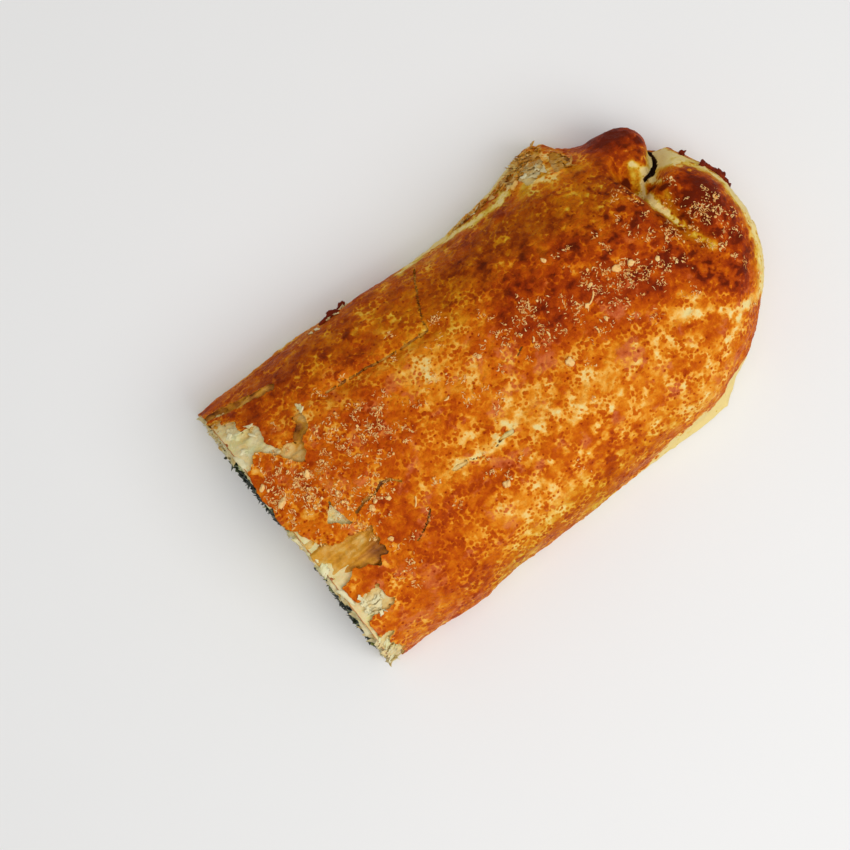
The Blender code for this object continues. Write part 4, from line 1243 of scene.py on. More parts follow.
@finish("chopped_spinach", Coat_Weight=0.25, Coat_Roughness=0.15)
def spinach_material(s, place):
    veins = s.noise(s.vector("MULTIPLY", place, (1.0, 1.0, 1.6)), 1.6, 4.0, 0.65)
    colour = s.ramp(s.scaled(s.math("SUBTRACT", veins, 0.5), 0.7, s.layer("shade")), SPINACH_STOPS)
    grain = s.grain(place, 1.4)
    return colour, s.smooth(grain, 0.3, 0.7, 0.22, 0.5), s.bump(s.math("ADD", grain, veins), 0.4)


@finish("cooked_onion", Subsurface_Weight=0.3, Subsurface_Scale=0.003, Coat_Weight=0.2)
def onion_material(s, place):
    lines = s.noise(s.vector("MULTIPLY", place, (1.0, 0.35, 1.6)), 1.2, 3.0)
    pale = s.blend(s.smooth(lines, 0.35, 0.65), *ONION_TONES[:2])
    tint = s.math("MULTIPLY", s.smooth(s.noise(place, 4.0, 2.0), 0.45, 0.7), 0.5)
    return s.blend(tint, pale, ONION_TONES[2]), s.scaled(lines, 0.15, 0.22), s.bump(lines, 0.2)


@finish("egg_white", Subsurface_Weight=0.25, Subsurface_Scale=0.004, Coat_Weight=0.15)
def egg_white_material(s, place):
    clear, cloudy, rim, fleck = WHITE_TONES
    colour = s.blend(s.smooth(s.noise(place, 9.0, 3.0), 0.35, 0.7), clear, cloudy)
    colour = s.blend(s.math("MULTIPLY", s.layer("rim"), 0.55), colour, rim)
    grain = s.grain(place, 1.1)
    return s.blend(s.flecks(place, 0.35), colour, fleck), s.scaled(grain, 0.2, 0.22), s.bump(grain, 0.12)


@finish("crumbly_yolk", Subsurface_Weight=0.15, Subsurface_Scale=0.002)
def yolk_material(s, place):
    pale, deep, crumb, rim, fleck = YOLK_TONES
    crumbs = s.noise(place, 1.1, 4.0, 0.7)
    colour = s.blend(s.smooth(s.noise(place, 8.0, 5.0, 0.6), 0.38, 0.66), pale, deep)
    colour = s.blend(s.smooth(crumbs, 0.55, 0.75, 0.0, 0.5), colour, crumb)
    colour = s.blend(s.math("MULTIPLY", s.layer("rim"), 0.7), colour, rim)
    return s.blend(s.flecks(place, 0.45), colour, fleck), s.scaled(crumbs, 0.3, 0.5), s.bump(crumbs, 0.7)


@finish("toasted_cheese", Specular_IOR_Level=0.2)
def cheese_material(s, place):
    colour = s.ramp(s.scaled(s.noise(place, 1.4, 3.0), 0.5, s.layer("shade")), CHEESE_STOPS)
    grain = s.grain(place, 2.0)
    return colour, s.scaled(grain, 0.25, 0.38), s.bump(grain, 0.15)


@finish("burnt_edge", Specular_IOR_Level=0.1)
def burnt_material(s, place):
    baked = s.use(oven_browning, {"Place": place, "Browning": 1.0, "Patchiness": 0.3})
    grain = s.grain(place, 2.0)
    return baked["Color"], s.scaled(grain, 0.3, 0.45), s.bump(grain, 0.3)


@finish("pale_floor", Specular_IOR_Level=0.2)
def floor_material(s, place, tone):
    soft = s.noise(place, 60.0, 2.0)
    low, high = [(*[tone * share] * 3, 1.0) for share in (0.985, 1.0)]
    return s.blend(soft, low, high), s.smooth(soft, 0.2, 0.8, 0.8, 0.9)


def even_angles(outline_at, spacing):
    """Angles that are even steps apart along an outline."""
    fine = np.linspace(0, math.tau, FINE_STEPS)
    across, up = outline_at(fine)
    return even_steps(fine, np.hypot(np.diff(across), np.diff(up)), spacing)[:-1]


def on_face(across, up):
    """Places on the flat of the cut, for the noises to read."""
    return np.stack([np.zeros(across.shape), across, up], axis=-1)


def face_grid(inner, outer, shares, depth_at):
    """Rings of the cut face between two outlines, each point a set depth into the loaf."""
    shares = shares[:, None]
    across, up = (first + (last - first) * shares for first, last in zip(inner, outer))
    return np.stack([cut_along(across, up) + depth_at(shares, across, up), across, up], axis=-1)


def bowl(outline_at, centre, depth, angle, rings, grow=0.0):
    """Rings of a round pocket or back, from its rim on the cut to its deepest point."""
    across, up = outline_at(angle, grow)
    made = []
    for turn in np.linspace(0, math.pi / 2, rings + 1)[:-1]:
        y, z = (middle + (at - middle) * math.cos(turn) for middle, at in zip(centre, (across, up)))
        made.append(np.stack([cut_along(y, z) + (depth + grow) * math.sin(turn), y, z], axis=-1))
    return np.array(made), np.array([cut_along(*centre) + depth + grow, *centre])


def filling_walls(angle, grow=0.0):
    """Rings of the filling's side from the cut to its rounded deep end, and the end point."""
    across, up = filling_outline(angle, grow)
    made = []
    for turn in np.sin(np.linspace(0, math.pi / 2, WALL_RINGS + 1))[:-1]:
        scale = math.sqrt(1 - turn**2)
        along = FILL_CAP_START + (FILL_END + grow - FILL_CAP_START) * turn
        y, z = FILL_CREST_Y + (across - FILL_CREST_Y) * scale, EGG_Z + (up - EGG_Z) * scale
        made.append(np.stack([np.full(angle.shape, along), y, z], axis=-1))
    return np.array(made), np.array([FILL_END + grow, FILL_CREST_Y, EGG_Z])


def build_cut_layers(spacing):
    """The cut pastry: thin flaky sheets outside, a smooth pale turn of dough inside, and a gap between them."""
    start = np.array([0.0])
    angle = even_angles(lambda fine: skin(start, fine)[0][:, 1:].T, spacing)
    base, facing = skin(start, angle)
    outer = (base - facing * 0.85)[:, 1:].T
    outer[1] = np.maximum(outer[1], LEAST_Z)
    inner = filling_outline(angle, FIT_GAP)
    width = np.hypot(outer[0] - inner[0], outer[1] - inner[1])
    in_gap = fade(angle, TURN_GAP_FROM, TURN_GAP_FADE) * fade(angle, TURN_GAP_TO, -TURN_GAP_FADE)
    kept = {}

    def depth_at(share, across, up):
        points = on_face(across, up)
        from_rim, from_filling = (1 - share) * width, share * width
        sheet = 0.5 + 0.5 * np.cos(math.tau * (from_rim + layered(points, SHEET_WARP)) / LAYER_PITCH)
        split = np.clip(rough_noise(points, 6.0, 111), -0.4, 1.0) + 0.5
        flaky = fade(from_rim, FLAKY_WIDTH, -2.0) * np.clip(from_filling / 1.5 - 0.6, 0, 1)
        flaky = np.maximum(flaky, 0.25) * fade(from_rim, 0.0, 0.8)
        gap = in_gap * hill(share - (TURN_GAP_RING + 0.05 * rough_noise(points, 12.0, 121)), TURN_GAP_WIDTH)
        depth = 1.7 * flaky * (1 - sheet) * split + 0.35 * rough_noise(points, 3.0, 115) + 0.45
        depth = depth + TURN_GAP_DEPTH * gap - 0.3 * hill(from_rim, 0.7)
        smooth = np.clip((share - TURN_GAP_RING) * -6, 0, 1) * in_gap
        low = 0.16 * fade(up, 9.0, -5.0)
        # Painted shade: the tone and the crevice value darken the gap and the hollows between the sheets.
        kept["tone"] = 0.04 + low + 0.05 * smooth + 0.10 * (1 - flaky) * (1 - smooth) + 0.5 * gap
        kept["crevice"] = np.clip(flaky * (1 - sheet) * split * 0.9 + 1.5 * gap, 0, 1.3)
        kept["rim"] = hill(from_rim, 0.9) * np.ones(across.shape)
        return depth * fade(from_filling, 0.0, 0.8)

    face = face_grid(inner, outer, np.linspace(0, 1, FACE_RINGS), depth_at)
    lip = []
    for back in np.linspace(0, LIP_REACH, LIP_STEPS)[1:]:
        here, here_facing = skin(np.array([back / CAP_START]), angle)
        ragged = layered(here, LIP_JAGS)
        lip.append(here - here_facing * (0.95 + 0.12 * back - ragged * min(1.0, back / 2))[..., None])
        lip[-1][:, 2] = np.maximum(lip[-1][:, 2], LEAST_Z)
    walls, deep_point = filling_walls(angle, FIT_GAP)
    layers = {}
    # The lip under the crust is given some painted shade.
    for layer, lip_value in (("tone", 0.06), ("crevice", 0.25), ("rim", 0.0)):
        behind, beyond = np.full(walls.shape[:2], 0.1), np.full((len(lip), len(angle)), lip_value)
        layers[layer] = with_tips(np.concatenate([behind, kept[layer], beyond]), 0.1)
    rings = np.concatenate([walls[::-1], face, lip])
    return make_piece("cut_layers", *loft(rings, first_tip=deep_point), layers_material(), layers)


def build_spinach(spacing):
    """The filling: a lumpy chopped face on the cut, and a plain body that runs through the loaf."""
    angle = even_angles(filling_outline, spacing)

    def depth_at(share, across, up):
        points = on_face(across, up)
        off_rims = 1 - (2 * share - 1) ** 4
        broad = lumps(points, 6.0, 1.4) * off_rims + 0.4
        pits = np.clip(rough_noise(points, 5.0, 155) - 0.3, 0, 1)
        return broad + (0.8 * rough_noise(points, 3.0, 151, 4) + 2.0 * pits) * np.clip(off_rims * 2, 0, 1)

    face = face_grid(egg_outline(angle, FIT_GAP), filling_outline(angle), np.linspace(0, 1, 60), depth_at)
    pocket, pocket_tip = bowl(egg_outline, (EGG_Y, EGG_Z), EGG_DEPTH, angle, 8, FIT_GAP)
    walls, deep_point = filling_walls(angle)
    rings = np.concatenate([pocket[::-1], face[1:], walls])
    shade = with_tips(0.22 + 0.16 * rough_noise(rings, 7.0, 161), 0.2, 0.2)
    mesh = loft(rings, pocket_tip, deep_point)
    return make_piece("spinach_filling_face", *mesh, spinach_material(), {"shade": shade})


def filling_places(count, draw):
    """Random places over the face of the filling, as across and up, clear of the egg."""
    cosine, sine, found = math.cos(EGG_TILT), math.sin(EGG_TILT), []
    while len(found) < count:
        angle = draw.uniform(0, math.tau, 4 * count)
        share = np.sqrt(draw.uniform(0.0, 1.0, 4 * count))
        outer = filling_outline(angle)
        y, z = (middle + (at - middle) * share * 0.96 for middle, at in zip((EGG_Y, EGG_Z), outer))
        along_egg = (y - EGG_Y) * cosine + (z - EGG_Z) * sine
        up_egg = (z - EGG_Z) * cosine - (y - EGG_Y) * sine
        clear = np.hypot(along_egg / (EGG_HALF_WIDTH + 1.2), up_egg / (EGG_HALF_HEIGHT + 1.2)) > 1
        found += list(zip(y[clear], z[clear]))
    return np.array(found[:count])


def on_cut(places, lift):
    """Points on the cut at given places across and up, standing a little way out of it."""
    return np.column_stack([cut_along(places[:, 0], places[:, 1]) - lift, places])


def out_of_cut(draw, count, spread, along=-1.0):
    """Directions out of the cut, each leaning a little at random."""
    return np.column_stack([np.full(count, along), draw.normal(0, spread, (count, 2))])


def build_leaf_scraps(count):
    """Curled scraps of chopped leaf over the face of the filling, with a few pale ones."""
    draw = np.random.default_rng(7)
    places = filling_places(count, draw)
    turns = turned(out_of_cut(draw, count, 0.8, -1.1), draw)
    sizes = drawn(draw, count, (2.6, 7.5), (1.6, 4.4), (0.25, 0.5))
    places = on_cut(places, draw.uniform(-1.6, 0.2, count))
    scraps = thin_sheets(places, turns, sizes, draw.uniform(-1.2, 1.2, count), draw, (6, 4))
    shade = np.where(draw.random(count) < 0.86, draw.normal(0.28, 0.11, count), draw.uniform(0.5, 0.95, count))
    few = count // 12
    places = filling_places(few, draw)
    normals = out_of_cut(draw, few, 0.7)
    places = on_cut(places, draw.uniform(-0.8, 0.2, few))
    turns, shapes = turned(normals, draw), drawn(draw, few, (2.5, 8.0), (0.35, 0.75), (-1.5, 1.5))
    points, faces = merge([scraps, strands(places, turns, *shapes.T, draw, 7, 8)])
    shades = np.concatenate([np.repeat(shade, 48), np.repeat(draw.uniform(0.55, 1.0, few), 56)])
    return make_piece("leaf_scraps", points, faces, spinach_material(), {"shade": shades})


def build_stalk():
    """One long yellow-green stalk, lying in the face of the filling."""
    steps = np.linspace(0, len(STALK_PATH) - 1, 40)
    places = np.column_stack([np.interp(steps, range(len(STALK_PATH)), values) for values in zip(*STALK_PATH)])
    middle = on_cut(places, 0.1 + 0.4 * np.sin(steps * 1.7))
    forward = unit(np.gradient(middle, axis=0))
    side = unit(np.cross(forward, [1.0, 0.0, 0.0]))
    other = np.cross(forward, side)
    angle = np.linspace(0, math.tau, 14, endpoint=False)
    ridged = 1 + 0.18 * np.cos(4 * angle)
    reach = STALK_RADIUS * (1 - np.linspace(-0.98, 0.98, 40) ** 6)[:, None] ** 0.5 * ridged
    ring = side[:, None] * np.cos(angle)[None, :, None] + other[:, None] * np.sin(angle)[None, :, None]
    points, faces = loft(middle[:, None] + ring * reach[..., None], middle[0], middle[-1])
    shade = 0.72 + 0.12 * rough_noise(points, 5.0, 171)
    return make_piece("spinach_stalk", points, faces, spinach_material(), {"shade": shade})


def build_onion(node, spec):
    """A curved, ribbed sliver of cooked onion in the face of the filling."""
    across, up, length, width, thickness, turn = spec
    shape, faces = ball_shape(5)
    ribs = 1 + 0.05 * np.cos(9 * shape[:, 2] / 0.35) * (1 - shape[:, 1] ** 2)
    swell = 1 + 0.10 * soft_noise(shape + 20 * len(node) + up, 0.9)
    x, y, z = (shape * np.array([thickness / 2, length / 2, width / 2]) * (ribs * swell)[:, None]).T
    z = z + ONION_BEND * shape[:, 1] ** 2
    cosine, sine = math.cos(turn), math.sin(turn)
    place = [cut_along(across, up) + thickness / 2 - ONION_PROUD, across, up]
    points = np.column_stack([x, y * cosine - z * sine, y * sine + z * cosine]) + place
    return make_piece(node + "_sliver", points, faces, onion_material())


def rounded(share, width):
    """How much a face turns over at its outer rim."""
    return hill(1 - share, width)


def build_egg_white(spacing):
    """The egg white, a ring round the yolk with a smooth cut face and a rounded back."""
    angle = even_angles(egg_outline, spacing)

    def depth_at(share, across, up):
        points = on_face(across, up)
        rounding = 0.5 * (hill(share, 0.05) + rounded(share, 0.05))
        return 0.2 + 0.10 * rough_noise(points, 9.0, 181, 2) + 0.03 * rough_noise(points, 1.4, 185) + rounding

    shares = np.linspace(0, 1, 36)
    face = face_grid(yolk_outline(angle, FIT_GAP), egg_outline(angle), shares, depth_at)
    pocket, pocket_tip = bowl(yolk_outline, (YOLK_Y, YOLK_Z), YOLK_DEPTH, angle, 8, FIT_GAP)
    back, back_tip = bowl(egg_outline, (EGG_Y, EGG_Z), EGG_DEPTH, angle, 10)
    ends = np.concatenate([np.ones(len(pocket)), rounded(shares[1:-1], 0.07), np.ones(len(back))])
    mesh = loft(np.concatenate([pocket[::-1], face[1:-1], back]), pocket_tip, back_tip)
    rim = with_tips(np.repeat(ends, len(angle)), 1.0, 1.0)
    return make_piece("egg_white_ring", *mesh, egg_white_material(), {"rim": rim})


def build_yolk(spacing):
    """The yolk, with a crumbly face a little below the white."""
    angle = even_angles(yolk_outline, spacing)

    def depth_at(share, across, up):
        points = on_face(across, up)
        crack = hill(rough_noise(points, 8.0, 191, 2), 0.05) * (share < 0.85)
        grains = 0.16 * rough_noise(points, 1.6, 195, 3) + 0.14 * rough_noise(points, 5.0, 199)
        return 0.3 + grains + 0.25 * crack + 0.4 * rounded(share, 0.05)

    shares = np.linspace(0, 1, 44)[1:]
    middle = np.full(angle.shape, YOLK_Y), np.full(angle.shape, YOLK_Z)
    face = face_grid(middle, yolk_outline(angle), shares, depth_at)
    back, back_tip = bowl(yolk_outline, (YOLK_Y, YOLK_Z), YOLK_DEPTH, angle, 8)
    ends = np.concatenate([rounded(shares[:-1], 0.06), np.ones(len(back))])
    mesh = loft(np.concatenate([face[:-1], back]), face[0].mean(axis=0), back_tip)
    rim = with_tips(np.repeat(ends, len(angle)), 0.0, 1.0)
    return make_piece("egg_yolk_half", *mesh, yolk_material(), {"rim": rim})


def build_films():
    """Thin pale films of white and dough that lie over the cut."""
    draw = np.random.default_rng(21)
    spec = np.array(FILMS)
    count = len(spec)
    turns = frames(out_of_cut(draw, count, 0.08), spec[:, 4])
    sizes = np.column_stack([spec[:, 2:4], np.full(count, 0.45)])
    points, faces = thin_sheets(on_cut(spec[:, :2], 0.3), turns, sizes, np.full(count, -0.5), draw, (18, 12), 0.10)
    tone = 0.06 + 0.04 * rough_noise(points, 5.0, 201)
    return make_piece("pale_films", points, faces, flake_material(), {"tone": tone})


def build_face_flakes(count):
    """Edges of thin sheets that stand out of the cut pastry."""
    draw = np.random.default_rng(31)
    angle, share = draw.uniform(0, math.tau, count), draw.uniform(0.15, 0.97, count)
    base, ahead, behind = (skin(np.array([0.0]), angle + step)[0] for step in (0.0, 0.02, -0.02))
    y, z = (inner + (outer - inner) * share for inner, outer in zip(filling_outline(angle, FIT_GAP), base[:, 1:].T))
    tangent = unit(ahead - behind) * [0, 1, 1]
    outward = unit(np.cross(tangent, [1.0, 0.0, 0.0]) * -1 + draw.normal(0, 0.12, (count, 3)))
    turns = np.stack([unit(tangent), np.cross(outward, unit(tangent)), outward], axis=-1)
    sizes = drawn(draw, count, (4, 13), (2.5, 4.5), (0.2, 0.42))
    places = on_cut(np.column_stack([y, np.maximum(z, 1.2)]), draw.uniform(-1.8, -0.4, count))
    mesh = thin_sheets(places, turns, sizes, draw.uniform(-0.9, 0.9, count), draw, (10, 4), 0.12)
    tone = np.repeat(np.clip(draw.normal(0.08, 0.08, count), 0, 0.5), 80)
    return make_piece("cut_flakes", *mesh, flake_material(), {"tone": tone})


class Landing:
    """Finds the crust under a place seen from above."""

    def __init__(self, crust):
        top = crust.facing[..., 2] > 0.12
        self.points = np.where((crust.reach < 0)[..., None], crust.dough, crust.crust)[top]
        self.facing = crust.facing[top]
        self.tree = kdtree.KDTree(len(self.points))
        for index, point in enumerate(self.points.tolist()):
            self.tree.insert((point[0], point[1], 0.0), index)
        self.tree.balance()

    def find(self, places):
        """The crust's point and normal at each place along and across."""
        found = [self.tree.find((along, across, 0.0))[1] for along, across in places]
        return self.points[found], self.facing[found]


def build_flakes(landing):
    """Loose shards of pastry at the torn places and on the broken lump."""
    draw = np.random.default_rng(41)
    spec = np.repeat(np.array(FLAKE_PATCHES)[:, :7], [patch[7] for patch in FLAKE_PATCHES], axis=0)
    count = len(spec)
    points, normals = landing.find(spec[:, :2] + draw.normal(0, 0.6, (count, 2)) * spec[:, 2:4])
    turns = turned(normals + draw.normal(0, 0.28, (count, 3)), draw)
    length = draw.uniform(spec[:, 4], spec[:, 5])
    sizes = np.column_stack([length, length * draw.uniform(0.35, 0.75, count), draw.uniform(0.22, 0.4, count)])
    sheets = thin_sheets(points + normals * 0.35, turns, sizes, draw.uniform(-0.5, 0.9, count), draw, (8, 5), 0.2)
    tone = np.repeat(np.clip(spec[:, 6] + draw.normal(0, 0.06, count), 0, 0.7), 80)
    return make_piece("pastry_flakes", *sheets, flake_material(), {"tone": tone})


def build_burnt_bits(landing):
    """Dark crisp scraps at the folded end."""
    draw = np.random.default_rng(51)
    spec = np.array(BURNT_BITS)
    points, normals = landing.find(spec[:, :2])
    turns = turned(normals * 0.5 + [0.0, 0.0, 1.0] + draw.normal(0, 0.15, normals.shape), draw)
    scraps = lumpy_balls(points + normals * 0.4, turns, spec[:, 2:3] * np.array([0.55, 0.34, 0.2]), draw, 3, 0.55)
    return make_piece("burnt_bits", *scraps, burnt_material())


def solid_crumb_places():
    """Where the solid pastry's own crumbs lie, with a size for each, from the same fixed seed."""
    draw = random.Random(SOLID_CRUMB_SEED)
    places = [(along, across, SOLID_BIG_CRUMB_SIZE) for along, across in SOLID_BIG_CRUMBS]
    for along, across, spread_along, spread_across, count in SOLID_CRUMB_CLUSTERS:
        for _ in range(count):
            place = draw.gauss(along, spread_along), draw.gauss(across, spread_across)
            places.append((*place, draw.uniform(*SOLID_CRUMB_SIZES)))
    nearest, farthest, side = SOLID_CRUMB_FIELD
    kept = []
    for along, across, size in places:
        if nearest < along < farthest and abs(across) < side:
            if all(math.dist((along, across), k[:2]) > SOLID_CRUMB_SPACING * (size + k[2]) for k in kept):
                kept.append((along, across, size))
    return kept


def build_fine_crumbs(landing, crust_share):
    """Fine grated cheese: short curled strands, scattered in clusters and heaped where the solid has a crumb."""
    draw = np.random.default_rng(61)
    places = []
    for along, across, spread_along, spread_across, count in CRUMB_CLUSTERS:
        total = int(count * CRUMB_SHARE * crust_share)
        few = total // 9 + 1
        seeds = np.column_stack([draw.normal(along, spread_along, few), draw.normal(across, spread_across, few)])
        chosen = seeds[draw.integers(0, few, total)]
        places.append(chosen + draw.normal(0, 1.7, (total, 2)) * draw.uniform(0.3, 1.6, (total, 1)))
    for along, across, size in solid_crumb_places():
        places.append(np.array([along, across]) + draw.normal(0, size * 0.55, (HEAP_CRUMBS, 2)))
    places = np.concatenate(places)
    places = places[(places[:, 0] > CRUMB_FIELD[0]) & (places[:, 0] < CRUMB_FIELD[1])]
    count = len(places)
    points, normals = landing.find(places)
    least, most = CRUMB_SIZES
    radii = least + (most - least) * draw.random(count) ** 1.4
    turns = turned(normals + draw.normal(0, 0.45, (count, 3)), draw)
    lengths = draw.uniform(*CRUMB_LENGTHS, count)
    raised = points + normals * radii[:, None] * 0.5
    made = strands(raised, turns, lengths, radii, draw.uniform(-1, 1, count) * lengths * 0.6, draw)
    shades = np.clip(draw.normal(0.20, 0.20, count), -0.1, 0.8)
    few = int(count * CRUMB_DUST)
    chosen = draw.permutation(count)[:few]
    size = 0.16 + 0.5 * draw.random((few, 1)) ** 2.2
    sizes = size * draw.uniform(0.6, 1.3, (few, 3))
    points, normals = landing.find(places[chosen] + draw.normal(0, 0.8, (few, 2)))
    dust = lumpy_balls(points + normals * size * 0.5, turns[chosen], sizes, draw, 2, 0.5)
    shade = np.concatenate([np.repeat(shades, 25), np.repeat(shades[chosen], 42)])
    return make_piece("fine_cheese_crumbs", *merge([made, dust]), cheese_material(), {"shade": shade})


def build_big_crumbs(landing):
    """The larger toasted crumbs, and the longer shreds of cheese."""
    draw = np.random.default_rng(71)
    spec, shreds = np.array(BIG_CRUMBS, float), np.array(SHREDS, float)
    points, normals = landing.find(spec[:, :2])
    sizes = spec[:, 2:3] * drawn(draw, len(spec), (0.9, 1.2), (0.6, 0.95), (0.5, 0.8))
    turns = turned(normals + draw.normal(0, 0.2, normals.shape), draw)
    balls = lumpy_balls(points + normals * spec[:, 2:3] * 0.35, turns, sizes, draw, 3, 0.5)
    points, normals = landing.find(shreds[:, :2])
    turns, radii = frames(normals, np.radians(shreds[:, 3])), np.full(len(shreds), SHRED_RADIUS)
    made = strands(points + normals * 0.45, turns, shreds[:, 2], radii, shreds[:, 4], draw, 11, 8)
    joined, faces = merge([balls, made])
    shade = 0.10 + 0.12 * rough_noise(joined, 3.0, 211)
    return make_piece("cheese_shreds", joined, faces, cheese_material(), {"shade": shade})


@functools.lru_cache
def crust_grid(spacing):
    return Crust(spacing)


@functools.lru_cache
def crust_landing(spacing):
    return Landing(crust_grid(spacing))


def build_loaf(spacing):
    """The browned crust in three stretches."""
    crust = crust_grid(spacing)
    rows = len(crust.runs) - 1
    materials = [crust_material(), torn_material()]
    marks = [0, rows // 3, 2 * rows // 3, rows]
    for name, first, last in zip(("crust_front", "crust_middle", "crust_folded_end"), marks, marks[1:]):
        settle(crust.piece(name, first, last, materials), "pastry", "pastry")


class StrudelPastry(bpy.types.PropertyGroup):
    spacing: bpy.props.FloatProperty(
        name="Crust spacing",
        description="Distance between the points of the crust's mesh",
        default=0.00062,
        min=0.0003,
        max=0.005,
        precision=5,
        unit="LENGTH",
    )
    face_spacing: bpy.props.FloatProperty(
        name="Cut spacing",
        description="Distance between the points of the cut pastry's mesh",
        default=0.0006,
        min=0.0003,
        max=0.005,
        precision=5,
        unit="LENGTH",
    )
    flakes: bpy.props.IntProperty(
        name="Cut flakes", description="How many thin sheets stand out of the cut", default=230, min=0, max=1000
    )


class StrudelFilling(bpy.types.PropertyGroup):
    spacing: bpy.props.FloatProperty(
        name="Filling spacing",
        description="Distance between the points of the filling's and the egg's mesh",
        default=0.0006,
        min=0.0003,
        max=0.005,
        precision=5,
        unit="LENGTH",
    )
    scraps: bpy.props.IntProperty(
        name="Leaf scraps", description="How many scraps of leaf lie on the cut", default=1100, min=0, max=2500
    )


class StrudelTopping(bpy.types.PropertyGroup):
    amount: bpy.props.FloatProperty(
        name="Cheese",
        description="Share of the usual amount of fine cheese crumbs",
        default=1.0,
        min=0.0,
        max=1.5,
        subtype="FACTOR",
    )


class StrudelStage(bpy.types.PropertyGroup):
    floor_tone: bpy.props.FloatProperty(
        name="Floor tone", description="How pale the floor is", default=0.86, min=0.0, max=1.0, subtype="FACTOR"
    )
    daylight: bpy.props.FloatProperty(
        name="Daylight", description="Strength of the soft light from all round", default=0.42, min=0.0, max=5.0
    )
    key_power: bpy.props.FloatProperty(
        name="Key light", description="Power of the broad light beside the loaf", default=10.0, min=0.0, unit="POWER"
    )
    top_power: bpy.props.FloatProperty(
        name="Top light", description="Power of the broad light above the loaf", default=12.5, min=0.0, unit="POWER"
    )


class StrudelSettings(bpy.types.PropertyGroup):
    pastry: bpy.props.PointerProperty(type=StrudelPastry)
    filling: bpy.props.PointerProperty(type=StrudelFilling)
    topping: bpy.props.PointerProperty(type=StrudelTopping)
    stage: bpy.props.PointerProperty(type=StrudelStage)


class STRUDEL_OT_crust(bpy.types.Operator):
    """Build the browned crust with its tears, folds and rim"""

    bl_idname = "strudel.crust"
    bl_label = "Crust"

    def execute(self, context):
        build_loaf(context.scene.strudel.pastry.spacing / MM)
        return {"FINISHED"}


class STRUDEL_OT_cut_pastry(bpy.types.Operator):
    """Build the layers of pastry that show on the cut"""

    bl_idname = "strudel.cut_pastry"
    bl_label = "Cut pastry"

    def execute(self, context):
        pastry = context.scene.strudel.pastry
        settle(build_cut_layers(pastry.face_spacing / MM), "pastry", "pastry")
        settle(build_face_flakes(pastry.flakes), "pastry", "pastry")
        return {"FINISHED"}


class STRUDEL_OT_filling(bpy.types.Operator):
    """Build the spinach with its scraps of leaf, its stalk and the onion"""

    bl_idname = "strudel.filling"
    bl_label = "Filling"

    def execute(self, context):
        filling = context.scene.strudel.filling
        settle(build_spinach(filling.spacing / MM), "spinach", "spinach_filling")
        settle(build_leaf_scraps(filling.scraps), "spinach", "spinach_filling")
        settle(build_stalk(), "spinach", "spinach_filling")
        for node, spec in ONIONS.items():
            settle(build_onion(node, spec), "onion", node)
        return {"FINISHED"}


class STRUDEL_OT_egg(bpy.types.Operator):
    """Build the egg's white and yolk, and the pale films beside them"""

    bl_idname = "strudel.egg"
    bl_label = "Egg"

    def execute(self, context):
        spacing = context.scene.strudel.filling.spacing / MM
        settle(build_egg_white(spacing), "egg_white", "egg_white")
        settle(build_yolk(spacing), "egg_yolk", "egg_yolk")
        settle(build_films(), "pastry")
        return {"FINISHED"}


class STRUDEL_OT_flakes(bpy.types.Operator):
    """Build the loose shards of pastry and the burnt scraps"""

    bl_idname = "strudel.flakes"
    bl_label = "Flakes"

    def execute(self, context):
        landing = crust_landing(context.scene.strudel.pastry.spacing / MM)
        settle(build_flakes(landing), "pastry", "pastry")
        settle(build_burnt_bits(landing), "pastry", "pastry")
        return {"FINISHED"}


class STRUDEL_OT_topping(bpy.types.Operator):
    """Build the toasted cheese: fine crumbs, larger crumbs and shreds"""

    bl_idname = "strudel.topping"
    bl_label = "Topping"

    def execute(self, context):
        strudel = context.scene.strudel
        landing = crust_landing(strudel.pastry.spacing / MM)
        settle(build_fine_crumbs(landing, strudel.topping.amount), "pastry", "pastry")
        settle(build_big_crumbs(landing), "pastry", "pastry")
        return {"FINISHED"}


def add_object(name, data, place=(0.0, 0.0, 0.0), turn=(0.0, 0.0, 0.0)):
    made = bpy.data.objects.new(name, data)
    made.location = place
    made.rotation_euler = turn
    bpy.context.scene.collection.objects.link(made)
    return made


def add_light(name, place, size, power):
    """A broad area light that faces the loaf."""
    lamp = bpy.data.lights.new(name, "AREA")
    lamp.shape = "DISK"
    lamp.size = size
    lamp.energy = power
    add_object(name, lamp, place, (-Vector(place)).to_track_quat("-Z", "Y").to_euler())


def add_camera():
    """The camera of the photograph, straight above the loaf."""
    lens = bpy.data.cameras.new("camera")
    lens.sensor_width = SENSOR
    lens.lens = SENSOR * CAMERA_HEIGHT / VIEW_WIDTH
    place = (CAMERA_ALONG - ORIGIN_ALONG) * MM, (CAMERA_ACROSS - ORIGIN_ACROSS) * MM, CAMERA_HEIGHT * MM
    bpy.context.scene.camera = add_object("camera", lens, place, (0.0, 0.0, math.radians(CAMERA_TURN)))


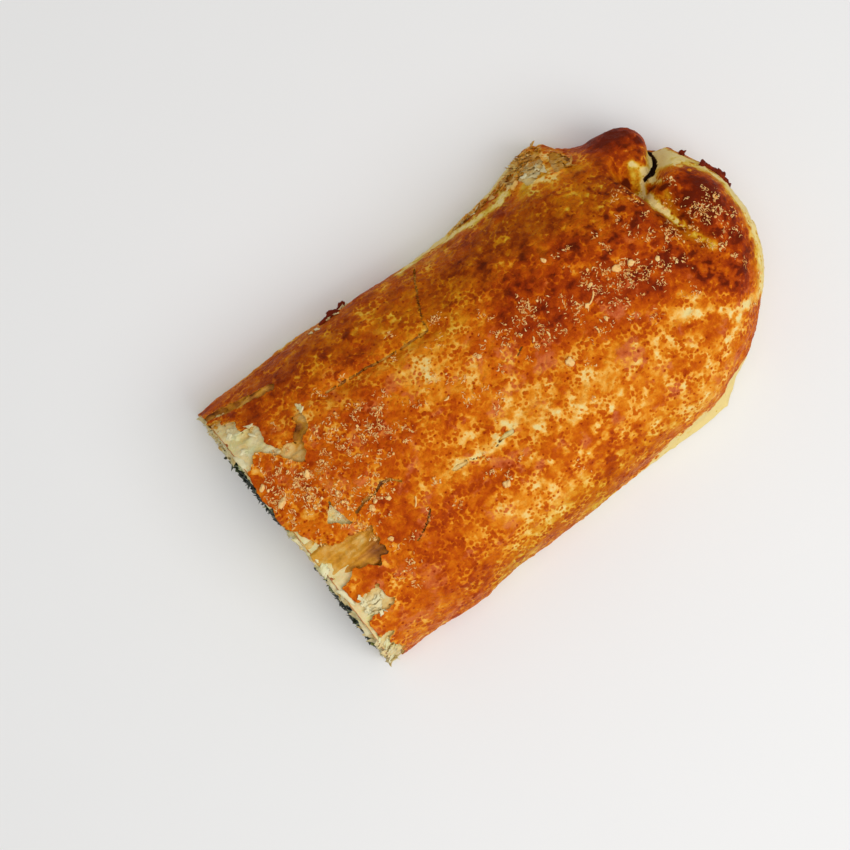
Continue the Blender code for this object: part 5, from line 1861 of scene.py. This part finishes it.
class STRUDEL_OT_stage(bpy.types.Operator):
    """Build the floor, the lights and the camera"""

    bl_idname = "strudel.stage"
    bl_label = "Stage"

    def execute(self, context):
        stage = context.scene.strudel.stage
        floor_data = bpy.data.meshes.new("floor")
        corners = [(x * FLOOR_HALF, y * FLOOR_HALF, 0) for x, y in ((-1, -1), (1, -1), (1, 1), (-1, 1))]
        floor_data.from_pydata(corners, [], [(0, 1, 2, 3)])
        floor_data.materials.append(floor_material(stage.floor_tone))
        floor = add_object("floor", floor_data)
        world = bpy.data.worlds.new("soft_daylight")
        world.use_nodes = True
        background = world.node_tree.nodes["Background"]
        background.inputs["Color"].default_value = DAYLIGHT_COLOUR
        background.inputs["Strength"].default_value = stage.daylight
        context.scene.world = world
        add_light("key_light", KEY_PLACE, KEY_SIZE, stage.key_power)
        add_light("top_light", TOP_PLACE, TOP_SIZE, stage.top_power)
        add_camera()
        context.scene.view_settings.view_transform = "Standard"
        return {"FINISHED"}


OPERATORS = (
    STRUDEL_OT_crust, STRUDEL_OT_cut_pastry, STRUDEL_OT_filling, STRUDEL_OT_egg, STRUDEL_OT_flakes,
    STRUDEL_OT_topping, STRUDEL_OT_stage,
)


class STRUDEL_PT_panel(bpy.types.Panel):
    """Sizes, amounts and light of the strudel, and the steps that build it"""

    bl_idname = "STRUDEL_PT_panel"
    bl_label = "Spinach strudel"
    bl_space_type = "VIEW_3D"
    bl_region_type = "UI"
    bl_category = "Strudel"

    def draw(self, context):
        strudel = context.scene.strudel
        for group in (strudel.pastry, strudel.filling, strudel.topping, strudel.stage):
            column = self.layout.column(align=True)
            for name in group.__annotations__:
                column.prop(group, name)
        for operator in OPERATORS:
            self.layout.operator(operator.bl_idname)


PROPERTY_GROUPS = (StrudelPastry, StrudelFilling, StrudelTopping, StrudelStage, StrudelSettings)
CLASSES = (*PROPERTY_GROUPS, *OPERATORS, STRUDEL_PT_panel)


def register():
    for cls in CLASSES:
        bpy.utils.register_class(cls)
    bpy.types.Scene.strudel = bpy.props.PointerProperty(type=StrudelSettings)


def unregister():
    del bpy.types.Scene.strudel
    for cls in reversed(CLASSES):
        bpy.utils.unregister_class(cls)


def main():
    register()
    for operator in OPERATORS:
        group, name = operator.bl_idname.split(".")
        getattr(getattr(bpy.ops, group), name)()


if __name__ == "__main__":
    main()
